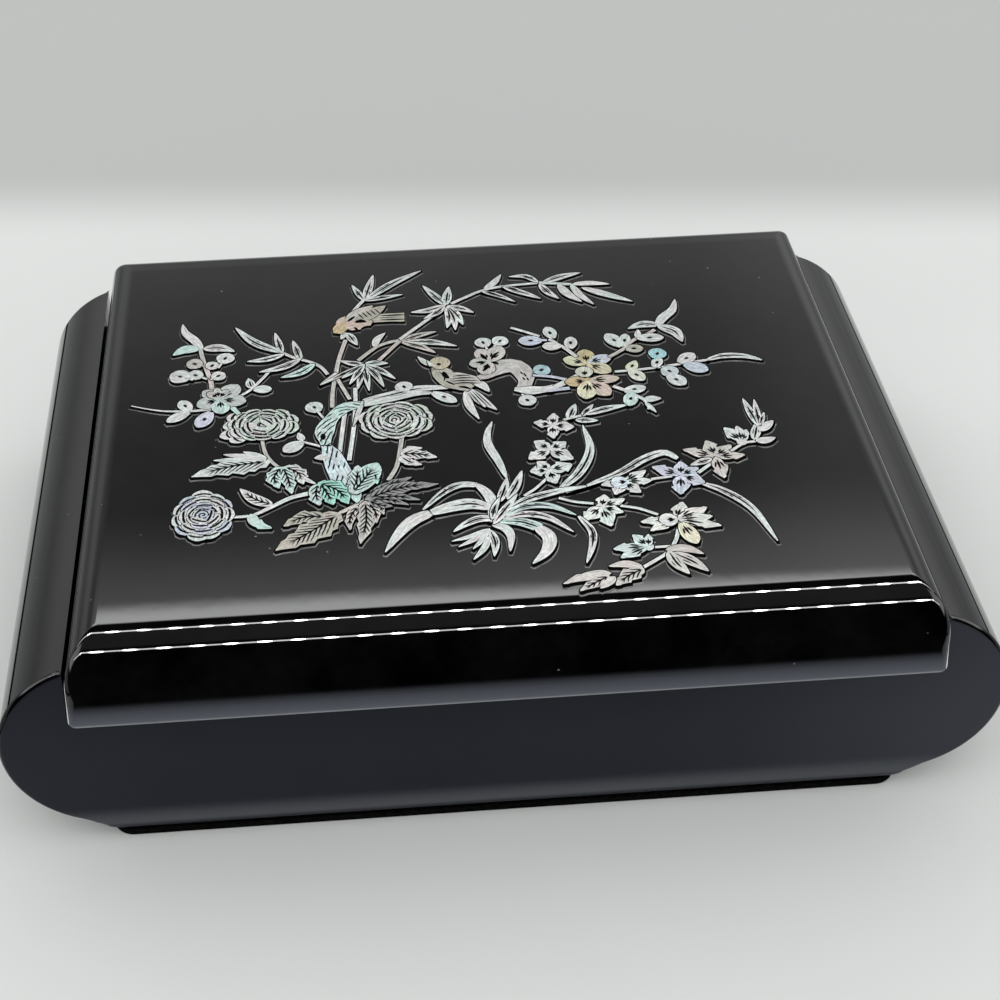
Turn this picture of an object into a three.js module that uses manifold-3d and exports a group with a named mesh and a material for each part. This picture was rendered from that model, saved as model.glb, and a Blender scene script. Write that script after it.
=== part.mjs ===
// Lacquered jewelry box: a low case with half-round ends, a thick hinged lid with rolled edges,
// shell inlay on the lid, and a velvet-lined inside with ring rolls and a mirror.
// Millimetres, +Z up, -Y is the front. The origin is the middle of the footprint on the table.

import * as THREE from 'three';
import { mergeVertices } from 'three/addons/utils/BufferGeometryUtils.js';
import Module from 'manifold-3d';

// Case
const CASE_WIDTH = 270;
const CASE_DEPTH = 176;
const END_RADIUS = 29;
const END_SEAT = 6;
const PANEL_THICKNESS = 8;
const PANEL_EDGE_ROUND = 1.5;
const PANEL_FOOT_ROUND = 3.5;
const RIM_HEIGHT = 48;

// Foot under the case: a bottom board between the panels and a felt-covered pad under both
const BASE_PAD = 2;
const BASE_PAD_SIDE_INSET = 2.5;
const BASE_PAD_FRONT_INSET = 1.5;
const BOTTOM_BOARD = 4;
const FOOT_INSET = 24;
const FOOT_CORNER = 3;

// Lid
const LID_INSET = 20.5;
const LID_OVERHANG = 7;
const LID_THICKNESS = 25;
const LID_SIDE_ROLL = 8.5;
const LID_FRONT_ROLL = 12.5;
const LID_ROLL_HEIGHT = 15;
const LID_ROLL_FULLNESS = 2.4;
const LID_ROLL_STEPS = 9;
const LID_UNDER_ROUND = 3;
const LID_CORNER_ROUND = 1.5;
const LID_BOARD = 10;
const LID_RAIL = 14;
const LID_SIDE_GAP = 1;

// Hinges at the back
const HINGE_INSET = 52.5;
const HINGE_LENGTH = 36;
const KNUCKLE_RADIUS = 2;
const PIN_RADIUS = 0.8;
const PIN_STANDOFF = 0.5;
const LEAF_THICKNESS = 0.9;
const LEAF_REACH = 7;
const SCREW_RADIUS = 0.8;
const SCREW_HEAD_RADIUS = 1.6;
const SCREW_LENGTH = 6;

// Inside of the case
const LINING = 2;
const LINING_BELOW_RIM = 2;
const DIVIDER = 3;
const DIVIDER_HEIGHT = 32;
const FRONT_BAY_DEPTH = 82;
const MIDDLE_BAY_WIDTH = 62;
const ROLL_COUNT = 6;
const ROLL_HEIGHT = 24;
const ROLL_SPACING = 0.6;
const ROLL_SOFTNESS = 1 / 6;

// Inside of the lid
const LID_LINING = 2;
const MIRROR_SIDE_MARGIN = 20;
const MIRROR_FRONT_MARGIN = 23;
const MIRROR_THICKNESS = 2;
const MIRROR_LIP = 2;
const MIRROR_FRAME = 7;
const MIRROR_FRAME_FACE = 1.5;

// Shell inlay
const INLAY_RELIEF = 0.3;
const INLAY_SIDE_MARGIN = 4.5;
const INLAY_FRONT_MARGIN = 1.5;
const STALK = 0.9;
const THIN_STALK = 0.7;
const BROAD_LEAF = 2.7;
const PETAL_NOTCH = 0.16;

// Clearance between meshes that do not share a flat face
const CLEARANCE = 0.3;

// Sizes that follow from the driving dimensions
const FOOT_WIDTH = CASE_WIDTH - 2 * FOOT_INSET;
const FOOT_HEIGHT = BASE_PAD + BOTTOM_BOARD;
const END_CENTRE_X = CASE_WIDTH / 2 - END_RADIUS;
const END_CENTRE_Z = FOOT_HEIGHT + END_RADIUS;
const INNER_Y = CASE_DEPTH / 2 - PANEL_THICKNESS;
const INNER_X = END_CENTRE_X - END_SEAT;
const LID_WIDTH = CASE_WIDTH - 2 * LID_INSET;
const LID_DEPTH = CASE_DEPTH + 2 * LID_OVERHANG;
const LIP_X = LID_WIDTH / 2 + LID_SIDE_GAP;
const LIP_TOP_Z = arcHeight(LIP_X, 1);
const FLOOR_Z = FOOT_HEIGHT;
const ROLL_BAY_WIDTH = INNER_X - LINING - DIVIDER / 2;
const LID_TOP_Z = RIM_HEIGHT + LID_THICKNESS;
const LID_BOARD_Z = LID_TOP_Z - LID_BOARD;
const RAIL_X = LID_WIDTH / 2 - LID_RAIL;
const RAIL_Y = LID_DEPTH / 2 - LID_RAIL;
const MIRROR_WIDTH = 2 * (RAIL_X - MIRROR_SIDE_MARGIN);
const MIRROR_DEPTH = 2 * (RAIL_Y - MIRROR_FRONT_MARGIN);
const HINGE_OFFSET = LID_WIDTH / 2 - HINGE_INSET;
const KNUCKLE_LENGTH = HINGE_LENGTH / 3;
const SCREW_OFFSET = HINGE_LENGTH / 3;
const PIN_Y = CASE_DEPTH / 2 + PIN_STANDOFF;
const PIN_Z = RIM_HEIGHT;
const FAR = 2 * (CASE_WIDTH + CASE_DEPTH);

const wasm = await Module();
wasm.setup();

const lacquer = material('#0b0a0c', 0.08, 0);
const satinLacquer = material('#2b2c35', 0.42, 0);
const shell = material('#c9d6d2', 0.25, 0.1);
const velvet = material('#7a1026', 0.95, 0);
const felt = material('#20201f', 0.98, 0);
const brass = material('#b8923f', 0.3, 1);
const glass = material('#c9ced2', 0.03, 1);

function material(color, roughness, metalness) {
  return new THREE.MeshStandardMaterial({ color, roughness, metalness });
}

// Height of the half-round end above or below its centre at a distance x from the middle
function arcHeight(x, side) {
  const across = x - END_CENTRE_X;
  return END_CENTRE_Z + side * Math.sqrt(END_RADIUS ** 2 - across ** 2);
}

// A closed mesh as a solid, for joining and cutting
function solid(geometry) {
  const bare = geometry.clone();
  bare.deleteAttribute('normal');
  bare.deleteAttribute('uv');
  const merged = mergeVertices(bare, 1e-4);
  return new wasm.Manifold(new wasm.Mesh({
    numProp: 3,
    vertProperties: new Float32Array(merged.attributes.position.array),
    triVerts: new Uint32Array(merged.index.array),
  }));
}

function geometryOf(body) {
  const mesh = body.getMesh();
  const geometry = new THREE.BufferGeometry();
  geometry.setAttribute('position', new THREE.BufferAttribute(mesh.vertProperties, 3));
  geometry.setIndex(new THREE.BufferAttribute(mesh.triVerts, 1));
  geometry.computeVertexNormals();
  return geometry;
}

// A block between two corners
function block(x0, x1, y0, y1, z0, z1) {
  const geometry = new THREE.BoxGeometry(x1 - x0, y1 - y0, z1 - z0);
  geometry.translate((x0 + x1) / 2, (y0 + y1) / 2, (z0 + z1) / 2);
  return geometry;
}

// The outline of a shape as points, with no point twice where an arc meets a line
function outlineOf(shape, segments) {
  const points = shape.getPoints(segments);
  const kept = points.filter((point, i) => point.distanceTo(points[(i + 1) % points.length]) > 1e-3);
  return new THREE.Shape(kept);
}

// A profile drawn in x and z, drawn out along Y from y0 to y1
function alongY(shape, y0, y1, segments, options = {}) {
  const geometry = new THREE.ExtrudeGeometry(outlineOf(shape, segments), {
    depth: y1 - y0, bevelEnabled: false, ...options,
  });
  geometry.rotateX(Math.PI / 2);
  geometry.translate(0, y1, 0);
  return geometry;
}

// A cylinder or cone along Z, its lower end first
function rod(radiusLow, radiusHigh, length, sides) {
  const geometry = new THREE.CylinderGeometry(radiusHigh, radiusLow, length, sides);
  geometry.rotateX(Math.PI / 2);
  return geometry;
}

function rodAlongX(radius, x0, x1, y, z, sides = 12) {
  const geometry = rod(radius, radius, x1 - x0, sides);
  geometry.rotateY(Math.PI / 2);
  geometry.translate((x0 + x1) / 2, y, z);
  return geometry;
}

function rectangle(width, depth) {
  const shape = new THREE.Shape();
  shape.moveTo(-width / 2, -depth / 2);
  shape.lineTo(width / 2, -depth / 2);
  shape.lineTo(width / 2, depth / 2);
  shape.lineTo(-width / 2, depth / 2);
  shape.closePath();
  return shape;
}

function roundedRectangle(width, depth, radius) {
  const x = width / 2 - radius;
  const y = depth / 2 - radius;
  const shape = new THREE.Shape();
  shape.absarc(x, -y, radius, -Math.PI / 2, 0);
  shape.absarc(x, y, radius, 0, Math.PI / 2);
  shape.absarc(-x, y, radius, Math.PI / 2, Math.PI);
  shape.absarc(-x, -y, radius, Math.PI, 1.5 * Math.PI);
  shape.closePath();
  return shape;
}

// The end view of the case: two half-round ends and the stepped foot, before the lid's notch is cut
function panelProfile() {
  const footX = FOOT_WIDTH / 2;
  const footBlend = footX + FOOT_CORNER;
  const uprightZ = BASE_PAD + BOTTOM_BOARD * 2 / 3;
  const blendAngle = Math.acos((footBlend - END_CENTRE_X) / END_RADIUS);
  const shape = new THREE.Shape();
  shape.moveTo(-footX + FOOT_CORNER, BASE_PAD);
  shape.lineTo(footX - FOOT_CORNER, BASE_PAD);
  shape.quadraticCurveTo(footX, BASE_PAD, footX, uprightZ);
  shape.quadraticCurveTo(footX, arcHeight(footX, -1), footBlend, arcHeight(footBlend, -1));
  shape.absarc(END_CENTRE_X, END_CENTRE_Z, END_RADIUS, -blendAngle, Math.PI / 2);
  shape.absarc(-END_CENTRE_X, END_CENTRE_Z, END_RADIUS, Math.PI / 2, Math.PI + blendAngle);
  shape.quadraticCurveTo(-footX, arcHeight(footX, -1), -footX, uprightZ);
  shape.quadraticCurveTo(-footX, BASE_PAD, -footX + FOOT_CORNER, BASE_PAD);
  return shape;
}

// Front (-1) or back (1) panel: outer edge rounded, its lower edge more so, inner face flat,
// with the wide notch under the lid
function casePanel(side) {
  const outer = CASE_DEPTH / 2 - PANEL_EDGE_ROUND;
  const panel = solid(alongY(panelProfile(), side < 0 ? -outer : 0, side < 0 ? 0 : outer, 9, {
    bevelEnabled: true, bevelThickness: PANEL_EDGE_ROUND, bevelSize: PANEL_EDGE_ROUND,
    bevelOffset: -PANEL_EDGE_ROUND, bevelSegments: 2,
  }));
  const keep = side < 0
    ? block(-FAR, FAR, -FAR, -INNER_Y, -FAR, FAR)
    : block(-FAR, FAR, INNER_Y, FAR, -FAR, FAR);
  const notch = block(-LIP_X, LIP_X, -FAR, FAR, RIM_HEIGHT, FAR);
  const roundY = side * (CASE_DEPTH / 2 - PANEL_FOOT_ROUND);
  const roundZ = BASE_PAD + PANEL_FOOT_ROUND;
  const beyond = side * CASE_DEPTH;
  const corner = solid(block(
    -CASE_WIDTH, CASE_WIDTH, Math.min(roundY, beyond), Math.max(roundY, beyond), -roundZ, roundZ,
  ));
  const round = corner.subtract(solid(rodAlongX(PANEL_FOOT_ROUND, -FAR, FAR, roundY, roundZ, 24)));
  return panel.intersect(solid(keep)).subtract(solid(notch)).subtract(round);
}

// The back panel has pockets for the hinge leaves, barrels and screws
function backPanel() {
  let panel = casePanel(1);
  for (const x of [-HINGE_OFFSET, HINGE_OFFSET]) {
    const half = HINGE_LENGTH / 2 + CLEARANCE;
    const leafFloor = RIM_HEIGHT - CLEARANCE / 2 - LEAF_THICKNESS - CLEARANCE;
    const leafStart = PIN_Y - LEAF_REACH - CLEARANCE;
    const barrelStart = PIN_Y - KNUCKLE_RADIUS - CLEARANCE;
    const barrelFloor = PIN_Z - KNUCKLE_RADIUS - CLEARANCE;
    panel = panel.subtract(solid(block(x - half, x + half, leafStart, FAR, leafFloor, FAR)));
    panel = panel.subtract(solid(block(x - half, x + half, barrelStart, FAR, barrelFloor, FAR)));
    for (const dx of [-SCREW_OFFSET, SCREW_OFFSET]) {
      panel = panel.subtract(screwHole(x + dx, -1));
    }
  }
  return panel;
}

// Half-round end between the panels, with the step that the lid sits on and the lip beside it
function endMoulding(side) {
  const lipAngle = Math.asin((LIP_TOP_Z - END_CENTRE_Z) / END_RADIUS);
  const shape = new THREE.Shape();
  shape.moveTo(INNER_X, FOOT_HEIGHT);
  shape.lineTo(END_CENTRE_X, FOOT_HEIGHT);
  shape.absarc(END_CENTRE_X, END_CENTRE_Z, END_RADIUS, -Math.PI / 2, lipAngle);
  shape.lineTo(LIP_X, RIM_HEIGHT);
  shape.lineTo(INNER_X, RIM_HEIGHT);
  shape.closePath();
  const geometry = alongY(shape, -INNER_Y, INNER_Y, 12);
  if (side < 0) geometry.rotateZ(Math.PI);
  return geometry;
}

// Bottom board between the panels, out to the foot's rounded ends; the end mouldings stand on it
function bottomBoard() {
  const footX = FOOT_WIDTH / 2;
  const uprightZ = BASE_PAD + BOTTOM_BOARD * 2 / 3;
  const shape = new THREE.Shape();
  shape.moveTo(-footX + FOOT_CORNER, BASE_PAD);
  shape.lineTo(footX - FOOT_CORNER, BASE_PAD);
  shape.quadraticCurveTo(footX, BASE_PAD, footX, uprightZ);
  shape.lineTo(footX, FOOT_HEIGHT);
  shape.lineTo(-footX, FOOT_HEIGHT);
  shape.lineTo(-footX, uprightZ);
  shape.quadraticCurveTo(-footX, BASE_PAD, -footX + FOOT_CORNER, BASE_PAD);
  return alongY(shape, -INNER_Y, INNER_Y, 6);
}

// Cross-section of the lid between two edges: upright below, then a roll fuller than an ellipse
// up to the flat
function rollProfile(width, roll) {
  const right = [];
  for (let i = 0; i <= LID_ROLL_STEPS; i += 1) {
    const turn = 0.5 * Math.PI * i / LID_ROLL_STEPS;
    const along = Math.cos(turn) ** (2 / LID_ROLL_FULLNESS);
    const up = Math.sin(turn) ** (2 / LID_ROLL_FULLNESS);
    right.push(new THREE.Vector2(
      width / 2 - roll * (1 - along),
      LID_TOP_Z - LID_ROLL_HEIGHT * (1 - up),
    ));
  }
  const left = right.map((point) => new THREE.Vector2(-point.x, point.y)).reverse();
  const below = [new THREE.Vector2(-width / 2, RIM_HEIGHT), new THREE.Vector2(width / 2, RIM_HEIGHT)];
  return new THREE.Shape([...below, ...right, ...left]);
}

// The whole outside of the lid: both rolls, softened corners and a small round underneath
function lidBlock() {
  const across = alongY(rollProfile(LID_WIDTH, LID_SIDE_ROLL), -LID_DEPTH, LID_DEPTH, 1);
  const along = alongY(rollProfile(LID_DEPTH, LID_FRONT_ROLL), -LID_WIDTH, LID_WIDTH, 1);
  along.rotateZ(Math.PI / 2);
  const under = new THREE.ExtrudeGeometry(rectangle(LID_WIDTH, LID_DEPTH), {
    depth: LID_THICKNESS, bevelEnabled: true, bevelThickness: LID_UNDER_ROUND,
    bevelSize: LID_UNDER_ROUND, bevelOffset: -LID_UNDER_ROUND, bevelSegments: 4,
  });
  under.translate(0, 0, RIM_HEIGHT + LID_UNDER_ROUND);
  const corners = outlineOf(roundedRectangle(LID_WIDTH, LID_DEPTH, LID_CORNER_ROUND), 4);
  const plan = new THREE.ExtrudeGeometry(corners, { depth: LID_THICKNESS, bevelEnabled: false });
  plan.translate(0, 0, RIM_HEIGHT);
  return solid(across).intersect(solid(along)).intersect(solid(under)).intersect(solid(plan));
}

const LID = lidBlock();

function lidBoard() {
  return LID.intersect(solid(block(-FAR, FAR, -FAR, FAR, LID_BOARD_Z, FAR)));
}

function lidRail(x0, x1, y0, y1) {
  return LID.intersect(solid(block(x0, x1, y0, y1, -FAR, LID_BOARD_Z)));
}

// The lid's back rail has pockets over the hinges
function lidBackRail() {
  let rail = lidRail(-FAR, FAR, RAIL_Y, FAR);
  for (const x of [-HINGE_OFFSET, HINGE_OFFSET]) {
    const half = HINGE_LENGTH / 2 + CLEARANCE;
    const leafTop = RIM_HEIGHT + CLEARANCE / 2 + LEAF_THICKNESS + CLEARANCE;
    const barrelReach = KNUCKLE_RADIUS + 1.5 * CLEARANCE;
    rail = rail.subtract(solid(block(x - half, x + half, 0, PIN_Y, -FAR, leafTop)));
    rail = rail.subtract(solid(block(
      x - half, x + half, PIN_Y - barrelReach, PIN_Y + barrelReach, -FAR, PIN_Z + barrelReach,
    )));
    for (const dx of [-SCREW_OFFSET, SCREW_OFFSET]) {
      rail = rail.subtract(screwHole(x + dx, 1));
    }
  }
  return rail;
}

// Where a hinge screw starts: the middle of its leaf's face, on the case (-1) or the lid (1)
function screwPlace(x, side) {
  const y = PIN_Y - KNUCKLE_RADIUS - (LEAF_REACH - KNUCKLE_RADIUS) / 2;
  return new THREE.Vector3(x, y, RIM_HEIGHT + side * CLEARANCE / 2);
}

function screwHole(x, side) {
  const length = SCREW_LENGTH + CLEARANCE;
  const hole = rod(SCREW_RADIUS + CLEARANCE, SCREW_RADIUS + CLEARANCE, length, 8);
  const place = screwPlace(x, side);
  hole.translate(place.x, place.y, place.z + side * length / 2);
  return solid(hole);
}

function countersink(x, side) {
  const wide = SCREW_HEAD_RADIUS + CLEARANCE;
  const narrow = SCREW_RADIUS + CLEARANCE;
  const cone = rod(side < 0 ? narrow : wide, side < 0 ? wide : narrow, LEAF_THICKNESS, 8);
  const place = screwPlace(x, side);
  cone.translate(place.x, place.y, place.z + side * LEAF_THICKNESS / 2);
  return solid(cone);
}

// A countersunk wood screw, its head just below the leaf's face
function screw(x, side) {
  const head = SCREW_HEAD_RADIUS - SCREW_RADIUS;
  const profile = [
    new THREE.Vector2(0, -SCREW_LENGTH),
    new THREE.Vector2(SCREW_RADIUS, -SCREW_LENGTH + 2 * SCREW_RADIUS),
    new THREE.Vector2(SCREW_RADIUS, -head),
    new THREE.Vector2(SCREW_HEAD_RADIUS, 0),
    new THREE.Vector2(0, 0),
  ];
  const geometry = new THREE.LatheGeometry(profile, 8);
  geometry.rotateX(side < 0 ? Math.PI / 2 : -Math.PI / 2);
  const place = screwPlace(x, side);
  geometry.translate(place.x, place.y, place.z);
  return solid(geometry);
}

// Hinge leaf with its knuckles: the case leaf (-1) has the outer two, the lid leaf (1) the middle one
function hingeLeaf(x, side) {
  const half = HINGE_LENGTH / 2;
  const middle = KNUCKLE_LENGTH / 2;
  const near = RIM_HEIGHT + side * CLEARANCE / 2;
  const far = near + side * LEAF_THICKNESS;
  const plate = block(x - half, x + half, PIN_Y - LEAF_REACH, PIN_Y, Math.min(near, far), Math.max(near, far));
  let leaf = solid(plate);
  leaf = leaf.add(solid(rodAlongX(KNUCKLE_RADIUS, x - half, x + half, PIN_Y, PIN_Z)));
  const cutFrom = PIN_Y - KNUCKLE_RADIUS - CLEARANCE;
  if (side < 0) {
    leaf = leaf.subtract(solid(block(x - middle, x + middle, cutFrom, FAR, -FAR, FAR)));
  } else {
    const edge = middle - CLEARANCE;
    leaf = leaf.subtract(solid(block(-FAR, x - edge, cutFrom, FAR, -FAR, FAR)));
    leaf = leaf.subtract(solid(block(x + edge, FAR, cutFrom, FAR, -FAR, FAR)));
  }
  leaf = leaf.subtract(solid(rodAlongX(PIN_RADIUS + CLEARANCE, x - half - 1, x + half + 1, PIN_Y, PIN_Z, 8)));
  for (const dx of [-SCREW_OFFSET, SCREW_OFFSET]) {
    leaf = leaf.subtract(countersink(x + dx, side));
  }
  return leaf;
}

// Padded roll that holds rings: flat below, round above, with softly rounded ends
function ringRoll(index) {
  const pitch = ROLL_BAY_WIDTH / ROLL_COUNT;
  const width = pitch - ROLL_SPACING;
  const soft = width * ROLL_SOFTNESS;
  const low = width / 2 - soft;
  const shape = new THREE.Shape();
  shape.absarc(0, ROLL_HEIGHT - low - soft, low, 0, Math.PI);
  shape.lineTo(-low, 2 * soft);
  shape.quadraticCurveTo(-low, soft, -low + soft, soft);
  shape.lineTo(low - soft, soft);
  shape.quadraticCurveTo(low, soft, low, 2 * soft);
  shape.closePath();
  const front = -INNER_Y + LINING + ROLL_SPACING;
  const back = front + FRONT_BAY_DEPTH - 2 * ROLL_SPACING;
  const geometry = alongY(shape, front + soft, back - soft, 4, {
    bevelEnabled: true, bevelThickness: soft, bevelSize: soft, bevelSegments: 2,
  });
  const x = -INNER_X + LINING + (index + 0.5) * pitch;
  geometry.translate(x, 0, FLOOR_Z + LINING);
  return geometry;
}

// Frame that holds the mirror against the lid's lining
function mirrorFrame(top) {
  const outerX = MIRROR_WIDTH / 2 + MIRROR_FRAME;
  const outerY = MIRROR_DEPTH / 2 + MIRROR_FRAME;
  const seeX = MIRROR_WIDTH / 2 - MIRROR_LIP;
  const seeY = MIRROR_DEPTH / 2 - MIRROR_LIP;
  const pocketX = MIRROR_WIDTH / 2 + CLEARANCE;
  const pocketY = MIRROR_DEPTH / 2 + CLEARANCE;
  const bottom = top - MIRROR_THICKNESS - MIRROR_FRAME_FACE;
  let frame = solid(block(-outerX, outerX, -outerY, outerY, bottom, top));
  frame = frame.subtract(solid(block(-seeX, seeX, -seeY, seeY, -FAR, FAR)));
  frame = frame.subtract(solid(block(-pocketX, pocketX, -pocketY, pocketY, top - MIRROR_THICKNESS, FAR)));
  return frame;
}

// The inlay is drawn on a field of this half-size, which is stretched to the flat of the real lid
const DRAWING = new THREE.Vector2(101.5, 81);
const FIELD_X = (LID_WIDTH / 2 - LID_SIDE_ROLL - INLAY_SIDE_MARGIN) / DRAWING.x;
const FIELD_Y = (LID_DEPTH / 2 - LID_FRONT_ROLL - INLAY_FRONT_MARGIN) / DRAWING.y;

// A thin plate of shell from an outline on the lid
function plate(points) {
  const shape = new THREE.Shape(points.map(([x, y]) => new THREE.Vector2(x * FIELD_X, y * FIELD_Y)));
  const geometry = new THREE.ExtrudeGeometry(shape, { depth: INLAY_RELIEF, bevelEnabled: false });
  geometry.translate(0, 0, LID_TOP_Z);
  return solid(geometry);
}

// Pointed leaf from its stalk, which it overlaps a little, to its tip; width is its widest.
// A narrow one is a plain lance, a broad one is fuller towards its tip.
function leaf(x0, y0, x1, y1, width) {
  const length = Math.hypot(x1 - x0, y1 - y0);
  const angle = Math.atan2(y1 - y0, x1 - x0);
  const half = width / 2;
  const foot = STALK / 2;
  const side = [[-foot, foot], [0.35 * length, half]];
  if (width > BROAD_LEAF) side.push([0.7 * length, 0.72 * half]);
  const mirrored = side.map(([u, v]) => [u, -v]).reverse();
  return plate([...side, [length, 0], ...mirrored].map(([u, v]) => [
    x0 + u * Math.cos(angle) - v * Math.sin(angle),
    y0 + u * Math.sin(angle) + v * Math.cos(angle),
  ]).reverse());
}

// Ribbon through a few places, with one width at each end and the fullest in the middle
function ribbon(route, start, middle, end, steps = 8) {
  const curve = new THREE.SplineCurve(route.map(([x, y]) => new THREE.Vector2(x, y)));
  const left = [];
  const right = [];
  for (let i = 0; i <= steps; i += 1) {
    const t = i / steps;
    const point = curve.getPoint(t);
    const tangent = curve.getTangent(t);
    const width = t < 0.5
      ? THREE.MathUtils.lerp(start, middle, Math.sin(Math.PI * t))
      : THREE.MathUtils.lerp(end, middle, Math.sin(Math.PI * t));
    const half = width / 2;
    left.push([point.x - tangent.y * half, point.y + tangent.x * half]);
    right.unshift([point.x + tangent.y * half, point.y - tangent.x * half]);
  }
  return plate([...right.reverse(), ...left.reverse()]);
}

function stem(route, width = STALK) {
  return ribbon(route, width, width, width, route.length === 2 ? 1 : 2 * (route.length - 1));
}

// Blossom with rounded petals round a centre
function blossom(x, y, radiusX, radiusY, petals, turn = 0) {
  const outline = [];
  const count = petals * 3;
  for (let i = 0; i < count; i += 1) {
    const angle = 2 * Math.PI * i / count;
    const lobe = 1 - PETAL_NOTCH * (1 - Math.abs(Math.cos(petals * (angle - turn) / 2)) ** 0.7);
    outline.push([
      x + radiusX * lobe * Math.cos(angle),
      y + radiusY * lobe * Math.sin(angle),
    ]);
  }
  return plate(outline);
}

function disc(x, y, radiusX, radiusY) {
  const outline = [];
  for (let i = 0; i < 6; i += 1) {
    const angle = Math.PI * i / 3;
    outline.push([x + radiusX * Math.cos(angle), y + radiusY * Math.sin(angle)]);
  }
  return plate(outline);
}

// Leaves that spread from one place: each is a direction in degrees and a length
function fan(x, y, leaves, width) {
  return leaves.map(([degrees, length]) => {
    const angle = THREE.MathUtils.degToRad(degrees);
    return leaf(x, y, x + length * Math.cos(angle), y + length * Math.sin(angle), width);
  });
}

// Round leaves on short stalks along a twig, each given by its middle and its stalk's foot
function roundLeaves(places, radius) {
  return places.flatMap(([x, y, footX, footY]) => [
    disc(x, y, radius, radius * 0.85),
    stem([[footX, footY], [x, y]], THIN_STALK),
  ]);
}

function peonyLeft() {
  return [
    blossom(-64, -3.6, 11, 7.7, 11, 0),
    stem([[-63, -9], [-61.5, -18], [-60.5, -23.5]], 0.9),
    leaf(-60.5, -17.5, -83, -25.3, 8),
    ...fan(-61, -23, [[-40, 13], [-75, 12], [-10, 9]], 4.5),
  ];
}

function peonyRight() {
  return [
    blossom(-24.8, -5, 11.3, 9.2, 12, 0.2),
    stem([[-24, -12], [-25, -21], [-27, -27]], 0.9),
    ...fan(-25, -22, [[12, 10], [-25, 8], [45, 6]], 3.6),
  ];
}

function peonyLow() {
  return [
    blossom(-79.8, -42.4, 8.3, 10.4, 11, 0.3),
    stem([[-73, -43.3], [-66, -43], [-60, -39.5], [-52.5, -36.5]], 0.9),
    leaf(-62.5, -41.5, -69.5, -32, 3.6),
    leaf(-66, -42.5, -61, -49, 3.6),
  ];
}

function lowLeaves() {
  return [
    ...fan(-42.5, -44.5, [[218, 22], [200, 15], [238, 11]], 7),
    ...fan(-37.5, -41.5, [[-82, 15], [-110, 9], [-50, 8]], 5),
    ...fan(-35, -40, [[22, 20], [42, 13], [-8, 12]], 5),
    stem([[-44, -45], [-38, -41], [-34, -39.5]], 1.4),
  ];
}

function rockAndBamboo() {
  const rock = ribbon([[-39, 6], [-44, -3], [-45.5, -13], [-43, -24], [-41, -34]], 7, 6, 9);
  return [
    rock,
    ...fan(-43, -29, [[215, 6], [250, 9], [285, 9]], 5),
    ...fan(-41, -29, [[55, 11], [20, 10], [-10, 8]], 5),
    stem([[-43, 2], [-42.5, 20], [-40.5, 28], [-38.5, 33]], 1.3),
    stem([[-40, -24], [-36.5, 5], [-31.5, 24], [-22, 35.5], [-6, 53], [8, 60], [24, 64]], 1.3),
    stem([[-36, 8], [-43, 21], [-50, 27], [-60, 33]], 1.1),
    ...fan(-35.2, 25.3, [[-138, 14], [-113, 14], [-92, 15], [-70, 15], [-43, 13], [-15, 12]], 2.2),
    leaf(-29.4, 26.8, -26, 39, 2.2),
    ...fan(-22, 35.5, [[12, 13], [-18, 18], [-42, 13], [35, 10]], 2.2),
    ...fan(-6, 54, [[118, 13], [84, 11], [202, 12], [230, 12], [262, 15], [284, 15], [310, 11], [5, 6]], 2.4),
    ...fan(8, 60, [[60, 11], [-32, 14], [25, 12]], 2),
    ...fan(17, 62.5, [[145, 9], [-55, 11]], 2),
    ...fan(24, 64, [[20, 14], [-62, 12], [-48, 17], [-38, 24], [-26, 30], [-8, 22]], 2.1),
    ...fan(-52, 28.5, [[62, 9], [190, 15], [222, 11], [250, 10]], 2),
    ...fan(-60, 33, [[128, 17], [78, 9], [196, 9]], 2),
  ];
}

function birdUpper() {
  return [
    disc(-38, 43, 3.4, 3.8),
    leaf(-41, 41, -22, 51, 9),
    leaf(-38, 45, -25, 54.5, 4),
    leaf(-30, 47, -19.5, 47.5, 3),
    leaf(-38.5, 42, -36, 34.5, 2.5),
    stem([[-35, 47], [-34.5, 53], [-31.5, 58.5]], 1),
    ...fan(-31.5, 58.5, [[112, 9], [80, 14], [40, 24], [8, 12]], 2.1),
  ];
}

function birdLower() {
  return [
    disc(-11, 21.5, 3.2, 3.2),
    leaf(-10, 22.5, -17, 26, 1.8),
    leaf(-14.5, 23, 1, 6.5, 9),
    leaf(-3, 11, 0, -6, 3),
    leaf(-3, 11, 5, -2.5, 2.6),
    stem([[-7, 13], [-9.5, 9]], 1),
    ribbon([[-33, 5.5], [-24, 7.5], [-17, 7], [-7, 9.5]], 3, 2.6, 1.6),
    ...roundLeaves([[-22, 12, -21, 8], [-10, 3.2, -13, 8]], 2.3),
  ];
}

function plumLeft() {
  return [
    blossom(-76.5, 11, 6.6, 6.6, 5, 0.3),
    stem([[-78, 14], [-80.5, 24], [-82, 33], [-84, 38]], 0.9),
    leaf(-84, 37, -89, 50, 2.6),
    leaf(-83, 36, -91.5, 35, 2.8),
    leaf(-83, 36, -73, 36.5, 2.8),
    ...roundLeaves([[-85.5, 29.5, -81.5, 29], [-75, 31, -81.5, 28], [-89.5, 23, -80, 22], [-76.5, 21.5, -79.5, 20]], 2.3),
    stem([[-73, 12], [-67, 16], [-63.5, 20.5]], 0.8),
    ...roundLeaves([[-68, 18.5, -67, 16], [-63.5, 14.5, -67, 16]], 2),
    ribbon([[-79, 6.5], [-90, 5.5], [-101, 9]], 1, 2, 0.5),
    ...roundLeaves([[-87.5, 9, -86, 5.5], [-88, 1.5, -86, 5.5], [-81.5, 0.5, -80.5, 6]], 2.1),
  ];
}

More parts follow.
